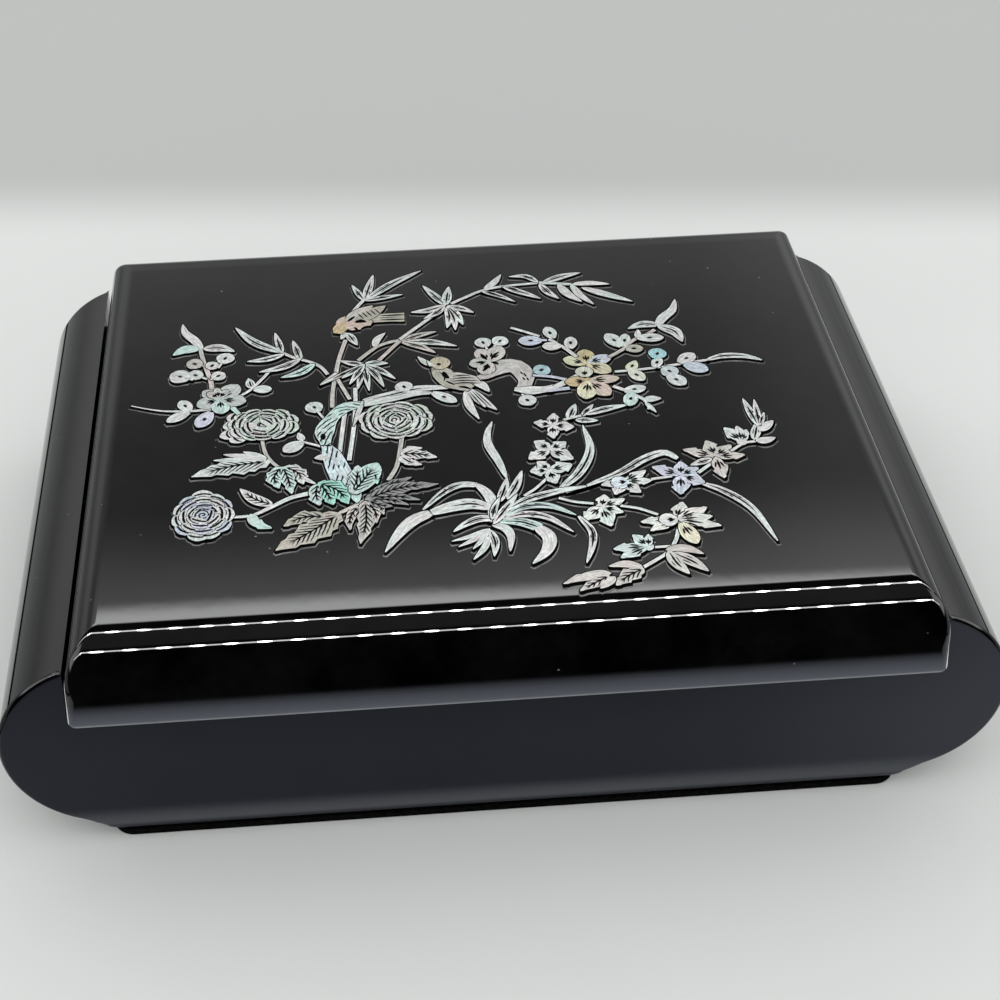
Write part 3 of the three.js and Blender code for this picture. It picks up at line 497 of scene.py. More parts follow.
# Bottom board and base pad
# A thin board closes the case from below, and a board covered with black felt is glued under it,
# so that the box doesn't scratch the table.
def rounded(half_x, half_y, radius, z):
    """A rectangle with round corners, in mm, as one loop at a height."""
    points = []
    count = 12
    for corner, (sx, sy) in enumerate(((1, -1), (1, 1), (-1, 1), (-1, -1))):
        for step in range(count + 1):
            angle = math.radians(-90 + 90 * corner + 90 * step / count)
            points.append(((sx * (half_x - radius) + radius * math.cos(angle)) * MM,
                           (sy * (half_y - radius) + radius * math.sin(angle)) * MM, z * MM))
    return points


def eased_block(name, node, radius, segments=3):
    """A block that fills a node's box, with all its edges eased by a radius in mm."""
    low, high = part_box(node)
    select_nothing()
    bpy.ops.mesh.primitive_cube_add(size=1, location=(low + high) / 2)
    piece = bpy.context.object
    piece.name = name
    piece.scale = high - low
    bpy.ops.object.transform_apply(location=True, rotation=True, scale=True)
    bpy.ops.object.mode_set(mode="EDIT")
    bpy.ops.mesh.select_all(action="SELECT")
    bpy.ops.mesh.bevel(offset=radius * MM, segments=segments, profile=0.5, affect="EDGES")
    bpy.ops.object.mode_set(mode="OBJECT")
    smooth(piece)
    return piece


felt = Finish("black felt", Roughness=1.0)
felt.shader.inputs["Specular IOR Level"].default_value = 0
place = felt.place()
fibres = felt.noise(felt.stretched(place, (1, 1, 3)), 900.0, 4.0, 0.7)
felt.feed(
    Base_Color=felt.mix(fibres.ramp(0.35, 0.7), (0.0015, 0.0015, 0.0015), (0.008, 0.008, 0.0075)),
    Normal=felt.bump(fibres, 0.0004),
)
pad_x, pad_y, pad_corner = 108.5, 87.4, 6
loops = []
for z, inset in ((0, 0.6), (0.2, 0.2), (0.6, 0), (1.5, 0), (1.9, 0.2), (2, 0.5)):
    loops.append(rounded(pad_x - inset, pad_y - inset, pad_corner - inset, z))
pad = lofted("felt_pad", loops)
smooth(pad, 60)
felt.dress(pad, "case", "felt", "base_pad")
satin.put_on(nodes["bottom_board"])

# Lining and dividers
# Board wrapped in red velvet: a floor, four sides and four dividers, the top edges of which
# are folded over and so softly round.
velvet = Finish("red velvet", Roughness=0.95, Sheen_Weight=0.9, Sheen_Roughness=0.35)
velvet.shader.inputs["Sheen Tint"].default_value = (1.0, 0.35, 0.42, 1)
place = velvet.place()
pile = velvet.noise(place, 2200.0, 3.0, 0.7)
crushed = velvet.noise(place, 38.0, 4.0, 0.65)
nap = (crushed * 0.75 + pile * 0.35).ramp(0.3, 0.8)
velvet.feed(
    Base_Color=velvet.mix(nap, (0.075, 0.004, 0.012), (0.245, 0.012, 0.038)),
    Normal=velvet.bump(pile + crushed * 2.0, 0.00035),
)
piece = eased_block("velvet_floor", "lining_floor", 0.5)
velvet.dress(piece, "case", "velvet", "lining_floor")
for node in ("lining_left", "lining_right", "lining_front", "lining_back",
             "divider_long", "divider_front", "divider_back_left", "divider_back_right"):
    name = node.replace("lining", "velvet_side").replace("divider", "velvet_divider")
    piece = eased_block(name, node, 0.95 if "lining" in node else 1.4, 4)
    velvet.dress(piece, "case", "velvet", node)

# Ring rolls
# Six foam rolls in velvet, side by side in the front left bay, so that rings stand between them.
# They are one roll, swollen by simulation, copied five times.
def merged_copy(name, node, flatten=True):
    """A copy of a solid with its corners joined and perhaps its flat faces made whole."""
    piece = linked(name, nodes[node].data.copy())
    pick(piece)
    bpy.ops.object.mode_set(mode="EDIT")
    bpy.ops.mesh.select_all(action="SELECT")
    bpy.ops.mesh.remove_doubles(threshold=0.000005)
    if flatten:
        bpy.ops.mesh.dissolve_limited(angle_limit=math.radians(2))
    bpy.ops.object.mode_set(mode="OBJECT")
    return piece


low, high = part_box("ring_roll_1")
roll = merged_copy("ring_roll_velvet_1", "ring_roll_1", False)
modify(roll, "REMESH", mode="VOXEL", voxel_size=0.0020)
middle = (low + high) / 2
slim_x, slim_y, slim_z = 0.90, 0.985, 0.965
for vertex in roll.data.vertices:
    vertex.co.x = middle.x + (vertex.co.x - middle.x) * slim_x
    vertex.co.y = middle.y + (vertex.co.y - middle.y) * slim_y
    vertex.co.z = low.z + (vertex.co.z - low.z) * slim_z
before = [vertex.co.copy() for vertex in roll.data.vertices]
most_swell, clear = 0.0012, 0.0001
swell = roll.modifiers.new("swell", "CLOTH")
swell.settings.use_pressure = True
swell.settings.uniform_pressure_force = 4
swell.settings.effector_weights.gravity = 0
swell.settings.tension_stiffness = 6
swell.settings.compression_stiffness = 6
scene = bpy.context.scene
for number in range(1, 21):
    scene.frame_set(number)
bpy.ops.object.modifier_apply(modifier=swell.name)
scene.frame_set(1)
for vertex, start in zip(roll.data.vertices, before):
    move = vertex.co - start
    vertex.co = start + move * min(1, most_swell / max(move.length, 0.000001))
    vertex.co.x = min(max(vertex.co.x, low.x + clear), high.x - clear)
    vertex.co.y = min(max(vertex.co.y, low.y + clear), high.y - clear)
    vertex.co.z = min(max(vertex.co.z, low.z), high.z)
modify(roll, "SUBSURF", levels=1, render_levels=1)
bpy.ops.object.shade_smooth()
rolls = [roll]
for number in range(2, 7):
    other = linked(f"ring_roll_velvet_{number}", roll.data.copy())
    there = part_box(f"ring_roll_{number}")[0]
    other.data.transform(Matrix.Translation((there.x - low.x, 0, 0)))
    rolls.append(other)
for number, piece in enumerate(rolls, 1):
    velvet.dress(piece, "case", "padded_velvet", f"ring_roll_{number}")

# The lid
# A thick slab with its top edge worked to a full roll, which meets in mitres at the corners, and
# polished like piano lacquer. Underneath it is hollow, with rails all round.
lid_x, lid_y, lid_z = 114.5, 95.0, 73.0
side_roll, front_roll, roll_high, roll_full = 8.5, 13.0, 15.0, 2.4
bottom_edge, hollow_x, hollow_y, hollow_z = 3, 100.5, 81, 63
loops = [rounded(lid_x - side_roll - 0.02, lid_y - front_roll - 0.02, 0.5, lid_z)]
roll_steps, edge_steps = 32, 12
for step in range(roll_steps + 1):
    angle = math.radians(90 * step / roll_steps)
    across = math.sin(angle) ** (2 / roll_full)
    tall = math.cos(angle) ** (2 / roll_full) if step < roll_steps else 0.0
    loops.append(rounded(lid_x - side_roll * (1 - across), lid_y - front_roll * (1 - across),
                         0.5 + 2.5 * across, lid_z - roll_high * (1 - tall)))
for step in range(edge_steps + 1):
    angle = math.radians(90 * step / edge_steps)
    inset = bottom_edge * (1 - math.cos(angle))
    z = rim_z + bottom_edge - bottom_edge * math.sin(angle)
    loops.append(rounded(lid_x - inset, lid_y - inset, 1.6, z))
loops.append(rounded(hollow_x + 0.3, hollow_y + 0.3, 0.2, rim_z))
loops.append(rounded(hollow_x, hollow_y, 0.2, rim_z + 0.3))
loops.append(rounded(hollow_x, hollow_y, 0.2, hollow_z))
lid = lofted("lid_slab", loops)
smooth(lid, 35)
leaf_cut, knuckle_cut = (60, 88.5, 40, 49.35), (86.05, 90.95, 40, 50.45)
hinge_pockets(lid, (leaf_cut, knuckle_cut))
shade(lid, 35)
modify(lid, "WEIGHTED_NORMAL", keep_sharp=True)
gloss.dress(lid, "lid", "gloss_lacquer",
            "lid_board", "lid_front_rail", "lid_back_rail", "lid_left_rail", "lid_right_rail")

# Lid lining, mirror and its frame
# Velvet on the lid's underside, and a bevelled mirror held against it by a lacquered frame.
velvet.dress(eased_block("velvet_lid", "lid_lining", 0.5), "lid", "velvet", "lid_lining")
mirror_finish = Finish("silvered glass", Metallic=1.0, IOR=1.5)
spots = mirror_finish.noise(mirror_finish.place(), 30.0, 4.0, 0.7)
mirror_finish.feed(
    Base_Color=mirror_finish.mix(spots.ramp(0.6, 0.8), (0.88, 0.90, 0.90), (0.78, 0.81, 0.80)),
    Roughness=0.015 + spots * 0.02,
)
mirror_finish.dress(eased_block("mirror_plate", "mirror_glass", 0.4, 2), "lid", "mirror", "mirror_glass")
surround = merged_copy("mirror_surround", "mirror_frame")
modify(surround, "BEVEL", width=0.0006, segments=3, limit_method="ANGLE")
smooth(surround, 35)
gloss.dress(surround, "lid", "gloss_lacquer", "mirror_frame")

# Hinges
# Two brass butt hinges let into the back panel and the lid's back rail, each with its pin and
# four countersunk screws.
brass = Finish("polished brass", Metallic=1.0)
place = brass.place()
drawn = brass.noise(brass.stretched(place, (8, 120, 120)), 40.0, 3.0)
dull = brass.noise(place, 90.0, 4.0)
brass.feed(
    Base_Color=brass.mix(dull.ramp(0.4, 0.7), (0.52, 0.34, 0.10), (0.36, 0.22, 0.07)),
    Roughness=0.22 + drawn * 0.18 + dull * 0.12,
    Normal=brass.bump(drawn, 0.00001),
)
slot_turns = random.Random(5)
slot_size = (0.0040, 0.00042, 0.0009)
for name in sorted(nodes):
    if not name.startswith("hinge"):
        continue
    piece = merged_copy(f"brass_{name}", name)
    low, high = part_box(name)
    screw = "screw" in name
    if screw:
        head = high.z if "case" in name else low.z
        middle = ((low.x + high.x) / 2, (low.y + high.y) / 2, head)
        carve(piece, middle, slot_size, slot_turns.uniform(0, math.pi))
    modify(piece, "BEVEL", width=0.00004 if screw else 0.00012, segments=2,
           limit_method="ANGLE", angle_limit=math.radians(40))
    shade(piece, 50)
    brass.dress(piece, "case" if "case" in name or "pin" in name else "lid", "brass", name)

# Shell inlay
# Pieces of mother-of-pearl, sawn out, glued on the lid's ground, bedded in lacquer and polished.
# Their veins and folds are engraved lines filled with black. Every motif is one object whose
# pieces are bent from one flat leaf: a grid with a middle line and two borders.
LEAF_ROWS = 14
select_nothing()
bpy.ops.mesh.primitive_grid_add(x_subdivisions=LEAF_ROWS, y_subdivisions=2, size=2)
pattern = bpy.context.object
pattern.name = "leaf_pattern"
pattern_points = [((v.co.x + 1) / 2, v.co.y) for v in pattern.data.vertices]
pattern_faces = [tuple(face.vertices) for face in pattern.data.polygons]
row_length = LEAF_ROWS + 1
border = [*range(row_length), 2 * row_length - 1]
border += [*range(3 * row_length - 1, 2 * row_length - 1, -1), row_length]
bpy.data.objects.remove(pattern)

silver, warm, tan, ash = (0.63, 0.63, 0.62), (0.52, 0.47, 0.44), (0.40, 0.37, 0.31), (0.17, 0.17, 0.17)
cyan, jade, lilac = (0.50, 0.64, 0.61), (0.30, 0.62, 0.53), (0.52, 0.54, 0.64)
gold, rose, pale = (0.52, 0.40, 0.20), (0.54, 0.43, 0.36), (0.56, 0.62, 0.55)
PLAIN, SPLIT, VEINS, EYE, PETAL, FOLD, CRACKS, COIL = range(8)


def along(route, t):
    """A place on a smooth curve through the places of a route, and the direction there."""
    place = min(t * (len(route) - 1), len(route) - 1.0001)
    i = int(place)
    f = place - i
    one, two = Vector(route[i]), Vector(route[i + 1])
    before = Vector(route[i - 1]) if i else one * 2 - two
    after = Vector(route[i + 2]) if i + 2 < len(route) else two * 2 - one
    a, b, c = (two - before) / 2, 2 * before - 5 * one + 4 * two - after, 3 * (one - two) + after - before
    return one + a * f + b / 2 * f * f + c / 2 * f ** 3, (a + b * f + 1.5 * c * f * f).normalized()


class Motif:
    """One part of the picture. Each piece has layers: the shell with its rim, a black painted shadow under
    it, the grey painted highlight line below that and a black outline. All measures are in mm."""

    def __init__(self, name):
        self.name, self.points, self.faces, self.finish, self.level = name, [], [], [], 0
        self.across, self.kinds, self.tints = [], [], []
        self.dice = random.Random(name)

    def blade(self, route, widths, kind=PLAIN, tint=silver, teeth=0, painted_drop=1.0, mark=False):
        """A piece along a route, half as wide at each share of it as widths says. A mark is black only."""
        self.level += 1
        top = lid_z + 0.09 + 0.004 * (self.level % 40)
        rows = []
        tone = 0.90 + 0.16 * self.dice.random()
        seed = self.dice.random()
        for t, side in pattern_points:
            place, ahead = along(route, t)
            reach = widths(t) * 0.95
            if teeth and side and 0.12 < t < 0.97:
                reach *= 1.12 - 0.42 * ((t * teeth + 0.25 * side) % 1)
            rows.append((place, ahead, Vector((-ahead.y, ahead.x)) * side, reach, t, side))
        length = sum((Vector(two) - Vector(one)).length for one, two in zip(route, route[1:]))
        # Each layer is moved down the lid, let out past the shell's edge, and laid at its own height.
        shell, sides = (0, 0, top), (0, 0, lid_z)
        # The black layer moved down the lid is a painted shadow, and the grey layer moved further down is a
        # painted highlight line.
        painted_shadow, painted_highlight_line = (0.9, 0.34, lid_z + 0.035), (1.35, 0.5, lid_z + 0.015)
        outlined, stroke = (0, 0.30, top - 0.0015), (0, 0, top + 0.022)
        layers = (stroke,) if mark else (shell, sides, painted_shadow, painted_highlight_line, outlined)
        for layer, (down, out, z) in enumerate(layers):
            start = len(self.points)
            for place, ahead, normal, reach, t, side in rows:
                spot = place + normal * (reach + out) + ahead * out * ((t > 0.999) - (t < 0.001))
                z_here = z + (0.02 if layer == 0 and side == 0 else 0)
                self.points.append((spot.x * MM, (spot.y - down * painted_drop) * MM, z_here * MM))
                self.across.append((t * length, side * reach, abs(side), t))
                self.kinds.append((kind, seed))
                self.tints.append((*(c * tone for c in tint), 1))
            if layer == 1:
                over = start - len(rows)
                for i, j in zip(border, border[1:] + border[:1]):
                    self.faces.append((over + j, over + i, start + i, start + j))
                    self.finish.append(0)
                continue
            for face in pattern_faces:
                self.faces.append(tuple(start + i for i in face))
                self.finish.append(1 if mark else (0, 0, 1, 2, 1)[layer])

    def leaf(self, x0, y0, x1, y1, width, kind=SPLIT, tint=silver, bow=0.0, teeth=0, full=0.75):
        """A leaf from its foot to its tip, bowed to its left by a share of its length."""
        foot, tip = Vector((x0, y0)), Vector((x1, y1))
        run = tip - foot
        middle = (foot + tip) / 2 + Vector((-run.y, run.x)) * bow
        half = min(width, 0.9 * run.length) / 2

        def swell(t):
            return 0.12 + half * max(math.sin(math.pi * t ** full), 0) ** 0.8 * (t < 1)
        self.blade([foot, middle, tip], swell, kind, tint, teeth)

    def ink(self, x0, y0, x1, y1, width, bow=0.0):
        """One bold engraved stroke, filled with black."""
        foot, tip = Vector((x0, y0)), Vector((x1, y1))
        middle = (foot + tip) / 2 + Vector((foot.y - tip.y, tip.x - foot.x)) * bow

        def swell(t):
            return width / 2 * max(math.sin(math.pi * t), 0) ** 0.6
        self.blade([foot, middle, tip], swell, mark=True)

    def stem(self, route, width=1.1, tint=silver, end=None):
        end = width if end is None else end
        self.blade(route, lambda t: (width + (end - width) * t) / 2, PLAIN, tint, painted_drop=0.8)

    def strip(self, route, wide, kind=SPLIT, tint=silver, start=0.4, end=0.15):
        """A long blade, widest a little before its middle."""
        def swell(t):
            ends = (start * (1 - t) + end * t) / 2
            return ends + wide * 0.8 * max(math.sin(math.pi * t ** 0.9), 0) ** 0.7
        self.blade(route, swell, kind, tint)

    def band(self, route, halves, kind=PLAIN, tint=silver):
        """A piece given by its half width at even steps along it."""
        def width(t):
            place = min(t * (len(halves) - 1), len(halves) - 1.0001)
            f = place % 1
            f = f * f * (3 - 2 * f)
            return halves[int(place)] * (1 - f) + halves[int(place) + 1] * f
        self.blade(route, width, kind, tint)

    def petal(self, x0, y0, x1, y1, width, kind=PETAL, tint=silver, painted_drop=1.0):
        """A petal or round leaf: widest past its middle, with a blunt end."""
        def swell(t):
            blunt = 0.25 + 0.75 * min(1, (1 - t) * 9) ** 0.5
            return 0.2 + width / 2 * max(math.sin(math.pi * (0.06 + 0.92 * t) ** 1.12), 0) ** 0.62 * blunt
        self.blade([(x0, y0), ((x0 + x1) / 2, (y0 + y1) / 2), (x1, y1)], swell, kind, tint, painted_drop=painted_drop)

    def disc(self, x, y, radius, foot=None, tint=silver, kind=EYE):
        foot = Vector(foot) if foot else Vector((x, y - radius))
        away = (Vector((x, y)) - foot).normalized()
        start = Vector((x, y)) - away * radius
        if (start - foot).length > 0.6:
            self.stem([foot, start + away * 0.4], 0.8, tint)
        self.petal(*start, *(start + away * 2 * radius), 2.05 * radius, kind, tint)

    def peony(self, x, y, wide, high, tints, turn=0.0):
        """Rings of petals from the outside in, each lying over the one before, round a coiled heart."""
        rings = ((1.0, 0.50, 11), (0.76, 0.34, 8), (0.54, 0.16, 6), (0.34, 0.02, 4))
        for ring, (outer, inner, count) in enumerate(rings):
            for i in range(count):
                angle = turn + 2 * math.pi * (i + 0.5 * (ring % 2) + self.dice.uniform(-0.12, 0.12)) / count
                far = outer * self.dice.uniform(0.94, 1.04)
                start = (x + wide * inner * math.cos(angle), y + high * inner * math.sin(angle))
                stop = (x + wide * far * math.cos(angle), y + high * far * math.sin(angle))
                size = 2 * math.pi * outer * (wide + high) / 2 / count
                tint = tints[(i + ring) % len(tints)]
                self.petal(*start, *stop, size * 1.12, FOLD, tint, painted_drop=1.0 if ring == 0 else 0)
        self.petal(x - wide * 0.22, y, x + wide * 0.22, y, high * 0.46, COIL, tints[0], painted_drop=0)

    def blossom(self, x, y, petals, tint=silver, sharp=False):
        """Petals from one middle, each given by its tip and width, and perhaps its own tint."""
        self.petal(x - 1.5, y, x + 1.5, y, 3.0, PLAIN, tint, painted_drop=0)
        for tip_x, tip_y, width, *own in petals:
            run = Vector((tip_x - x, tip_y - y))
            foot = Vector((x, y)) + run * 0.03
            if sharp:
                self.leaf(*foot, tip_x, tip_y, width * 1.08, PETAL, own[0] if own else tint, 0, 2, 0.95)
            else:
                self.petal(*foot, tip_x, tip_y, width, PETAL, own[0] if own else tint)

    def fan(self, x, y, leaves, width, kind=SPLIT, tint=silver, bow=0.0, teeth=0):
        for leaf_x, leaf_y, *own in leaves:
            self.leaf(x, y, leaf_x, leaf_y, own[0] if own else width, kind, tint, bow, teeth)

    def spot(self, x, y, wide, high):
        """A hole in the shell, where the black ground shows."""
        self.level += 1
        start = len(self.points)
        for i in range(10):
            angle = math.pi * i / 5
            rim = (x + wide * math.cos(angle), y + high * math.sin(angle), lid_z + 0.27)
            self.points.append(tuple(value * MM for value in rim))
            self.across.append((0, 0, 0, 0))
            self.kinds.append((PLAIN, 0))
            self.tints.append((0, 0, 0, 1))
        self.faces.append(tuple(range(start, start + 10)))
        self.finish.append(1)

    def make(self, finishes):
        name = f"shell_{self.name}"
        mesh = bpy.data.meshes.new(name)
        mesh.from_pydata(self.points, [], self.faces)
        for finish in finishes:
            mesh.materials.append(finish.material)
        mesh.polygons.foreach_set("material_index", self.finish)
        for attribute, values in (("across", self.across), ("tint", self.tints)):
            made = mesh.attributes.new(attribute, "FLOAT_COLOR", "POINT")
            made.data.foreach_set("color", [v for four in values for v in four])
        made = mesh.attributes.new("kind", "FLOAT_VECTOR", "POINT")
        made.data.foreach_set("vector", [v for kind, seed in self.kinds for v in (kind, seed, 0)])
        return linked(name, mesh)


motifs = {}


def motif(name):
    motifs[name] = Motif(name)
    return motifs[name]


# Peonies: three open flowers on the left with their stalks and cut leaves
m = motif("peony_left")
m.stem([(-63.8, -10.5), (-63, -16), (-61.3, -20.3), (-58.3, -24.5)], 1.1, warm)
m.leaf(-61.3, -20.3, -83.6, -25.4, 8.4, VEINS, silver, -0.05, 5, 0.62)
m.leaf(-63, -19.6, -77.6, -18.6, 2.6, PLAIN)
m.leaf(-63, -19, -74.8, -16.2, 2.4, PLAIN)
m.leaf(-62.5, -19.2, -69.2, -15.4, 2.2, PLAIN)
m.leaf(-57.6, -23.2, -52.3, -31.4, 5.6, VEINS, silver, 0.16, 4)
m.leaf(-53, -28.2, -48.8, -31.6, 1.3, PLAIN)
m.leaf(-58.4, -23.2, -59, -32.6, 5.0, VEINS, cyan, -0.18, 4)
m.leaf(-58, -23.2, -55.6, -35.2, 4.6, VEINS, cyan, 0.03, 3)
for x, y, tip_x, tip_y in (
    (-69, 0, -74.2, 1), (-70, -3, -75.2, -3.4), (-69, -6, -76, -8), (-68, -7, -73, -10.6),
):
    m.petal(x, y, tip_x, tip_y, 4.6, FOLD, silver)
m.peony(-63.6, -3.4, 10.8, 7.4, (silver, pale, silver), 0.2)
m = motif("peony_right")
m.stem([(-23.6, -12), (-24.6, -19), (-26, -26), (-28.6, -31.8)], 1.3, warm)
m.leaf(-24.4, -20, -18.2, -18.3, 2.8, PLAIN, silver, 0.1, 2)
m.leaf(-24.6, -21.5, -18.8, -25.8, 3.2, SPLIT, silver, -0.1, 3)
m.leaf(-25, -22, -22.8, -25, 2.0, PLAIN)
m.leaf(-24.6, -20.4, -14.3, -22.9, 4.6, VEINS, silver, 0.06, 3, 0.7)
m.peony(-25.1, -4.7, 11.4, 8.8, (silver, pale, silver), 0.1)
m = motif("peony_low")
m.stem([(-72.5, -43.6), (-66.5, -43.4), (-61, -40.2), (-56, -37), (-50.6, -35.4)], 1.0, silver, 1.7)
m.leaf(-60.8, -39.6, -69.9, -31.8, 3.8, VEINS, silver, 0.08)
m.leaf(-66.9, -42.8, -61.1, -49.2, 3.6, PLAIN, cyan, -0.16, 2)
m.peony(-79.8, -42.2, 8.4, 10.4, (lilac, silver, silver), 0.5)

# Low leaves: cut leaves under the rock, in thinner and greyer shell
m = motif("low_leaves")
m.stem([(-43, -44.8), (-39, -42.3), (-35, -39.6)], 1.3, warm)
m.leaf(-46.5, -45.6, -57.9, -48.6, 5.0, VEINS, tan, -0.14, 3)
m.leaf(-42.3, -44.6, -60.1, -58.3, 9.4, VEINS, tan, 0.02, 5, 0.66)
m.leaf(-37.5, -42, -40, -51.8, 3.0, VEINS, warm, -0.1, 2)
m.leaf(-34.6, -41, -32.8, -49.6, 3.0, VEINS, warm, 0.1, 2)
m.leaf(-34.2, -40, -30.6, -46.2, 2.6, VEINS, warm, 0.14, 2)
m.leaf(-35.4, -40, -37.4, -57.6, 5.2, VEINS, warm, 0.05, 4, 0.7)
m.leaf(-34.5, -39.3, -22, -31, 3.6, VEINS, ash, 0.08, 3)
m.leaf(-34.5, -40, -28, -43, 2.4, VEINS, ash, -0.1)
m.leaf(-34.5, -39.8, -23.6, -42.8, 2.8, VEINS, ash, 0.1, 2)
m.leaf(-34, -39.6, -20.3, -41, 3.0, VEINS, ash, 0.1, 3)
m.leaf(-35.5, -39.6, -14.8, -34.6, 5.2, VEINS, ash, 0.08, 5, 0.7)

# Rock and bamboo: a hollow rock with leaves at its foot, canes behind it and their sprays
m = motif("rock_and_bamboo")
m.stem([(-43.3, 3), (-42.9, 11), (-41.8, 19), (-40.6, 27), (-38.2, 37)], 1.3, warm)
m.stem([(-41.8, -18.6), (-40.3, -5), (-39.2, 4)], 1.3)
m.stem([(-39.2, -22), (-37.2, -6), (-36.4, 5), (-36.2, 12)], 1.3)
m.stem([(-41.8, 18.4), (-38, 6.5)], 1.2, warm)
m.stem([(-47, -15), (-52.4, -12.3)], 0.9)
m.leaf(-52.2, -12, -53.4, -8.1, 2.2, PLAIN)
m.petal(-52.2, -12.6, -57.8, -16.4, 4.4, PLAIN)
m.disc(-48.6, 3.6, 2.6, (-46, -1.8))
m.band([(-34.4, 3.9), (-39.5, 2.6), (-43.2, -1.6), (-45.8, -8), (-45.6, -14.4)],
       (1.5, 2.3, 2.1, 3.0, 1.5), CRACKS, cyan)
m.leaf(-34.2, 5.4, -37.4, -6.5, 1.3, PLAIN)
m.leaf(-43.5, -19.5, -49, -20.2, 3.2, PLAIN)
m.band([(-45.6, -14.6), (-44, -19.5), (-42.6, -25), (-41, -31), (-40, -37)], (1.5, 3.0, 3.4, 3.6, 2.2),
       CRACKS, (0.62, 0.72, 0.76))
m.leaf(-38.4, -31, -37.6, -40.8, 3.0, PLAIN, cyan, 0, 0, 1.4)
m.spot(-46.3, -10.8, 0.8, 1.5)
m.spot(-44.9, -14.9, 1.0, 0.4)
m.petal(-46, -33, -50, -37.2, 5.5, VEINS)
m.leaf(-48.2, -31.6, -48, -40.9, 4.8, VEINS, cyan, -0.08, 2, 0.9)
m.leaf(-47.8, -31.4, -44.2, -41, 5.2, VEINS, jade, 0.03, 3, 0.9)
m.leaf(-48.2, -31.2, -40, -41, 6.6, VEINS, jade, 0.13, 5, 0.7)
m.leaf(-39, -36.8, -36.2, -35, 2.6, VEINS, cyan)
m.leaf(-37.2, -30, -34.6, -35.2, 3.2, VEINS, cyan, 0.05)
m.leaf(-34.6, -25, -31.8, -33.2, 3.2, VEINS, jade, 0.1)
m.leaf(-38.8, -36.6, -36.8, -24.6, 5.4, VEINS, cyan, -0.04, 3, 1.1)
m.petal(-38.8, -36.6, -31.2, -24, 7.2, VEINS, cyan)
m.stem([(-44.2, 19.4), (-46.2, 23.4), (-49.6, 26.4), (-54, 28.8), (-58, 32)], 1.2)
m.leaf(-58, 32, -72.3, 46.6, 3.2, SPLIT, silver, 0.08)
m.leaf(-57.8, 31.6, -60, 42.6, 2.2)
m.leaf(-52.2, 27.6, -54.5, 38, 2.3)
m.leaf(-57.2, 31, -68.5, 28.2, 2.5, SPLIT, silver, 0.07)
m.leaf(-52.2, 28, -64.8, 22.4, 2.8, SPLIT, silver, 0.08)
m.leaf(-48, 25.2, -58.3, 19, 2.9, SPLIT, cyan, 0.1)
m.stem([(-41.6, 19.8), (-46.6, 14.4)], 1.2, silver, 0.6)
m.stem([(-34.8, 25.6), (-29, 32), (-25, 34.2), (-21.8, 35)], 1.3, warm)
m.stem([(-28.6, 25), (-21.6, 34.6)], 1.3, warm)
m.leaf(-29.6, 32.2, -25.9, 39.4, 2.3, PLAIN, silver, 0.1)
m.fan(-33, 23.6, ((-46.6, 14.2, 1.6), (-40, 17, 2.2), (-37.8, 13.7), (-35.6, 11), (-32.1, 10.2)), 2.0)
m.fan(-33, 23.6, ((-40.3, 26.2, 2.2), (-27.6, 11.7), (-24, 15.4), (-25.8, 23.6, 2.6)), 2.2, bow=0.05)
m.fan(-21.4, 34.6, ((-10, 38.8, 2.4), (-11, 27.6, 2.6)), 2.4, tint=warm, bow=0.05)
m.leaf(-20, 34.2, -4.2, 30.6, 2.8, SPLIT, silver, 0.06)
m.stem([(-22, 35.2), (-15, 42.6), (-8.6, 49.4)], 1.3)
m.fan(-6, 53, ((-12.5, 64.8, 2.7), (-4.2, 63.4, 3.0)), 2.6)
m.fan(-6.2, 53, ((-17.2, 50, 2.7), (-13.4, 46, 2.4)), 2.4, bow=0.08)
m.fan(-5.6, 52.4, ((-6.5, 40.4), (-4, 39), (-1.4, 41.6), (2.5, 48)), 2.6, tint=silver, bow=0.06)
m.stem([(-4.2, 53.6), (1, 57), (6, 60), (12.5, 61.8), (25, 62.9)], 1.2)
m.leaf(7, 60.6, 13.2, 68.8, 2.4, PLAIN, silver, -0.05)
m.fan(6, 59.8, ((13, 56, 1.3), (16.2, 52.8, 1.8)), 1.6, bow=0.04)
m.fan(13, 61.6, ((24.4, 53.8, 2.6), (20, 58, 1.6)), 2.4, bow=0.02)
m.leaf(24.8, 63, 15.6, 67.3, 2.2, SPLIT, silver, -0.2)
m.leaf(26, 62.6, 39, 67.5, 2.9, SPLIT, silver, 0.05)
m.stem([(25, 62.9), (30, 62), (36, 60.8)], 1.4)
m.leaf(25, 62.2, 30.2, 53.2, 2.6, SPLIT, silver, -0.06)
m.leaf(31, 61.6, 37.2, 50.8, 3.0, PLAIN, silver, -0.08)
m.leaf(35, 61, 40.8, 49, 2.5, PLAIN, silver, -0.06)
m.leaf(35.5, 61, 47.4, 60, 2.4, PLAIN, silver, 0.05)
m.leaf(38.2, 58.8, 53.2, 49.5, 2.9, PLAIN)

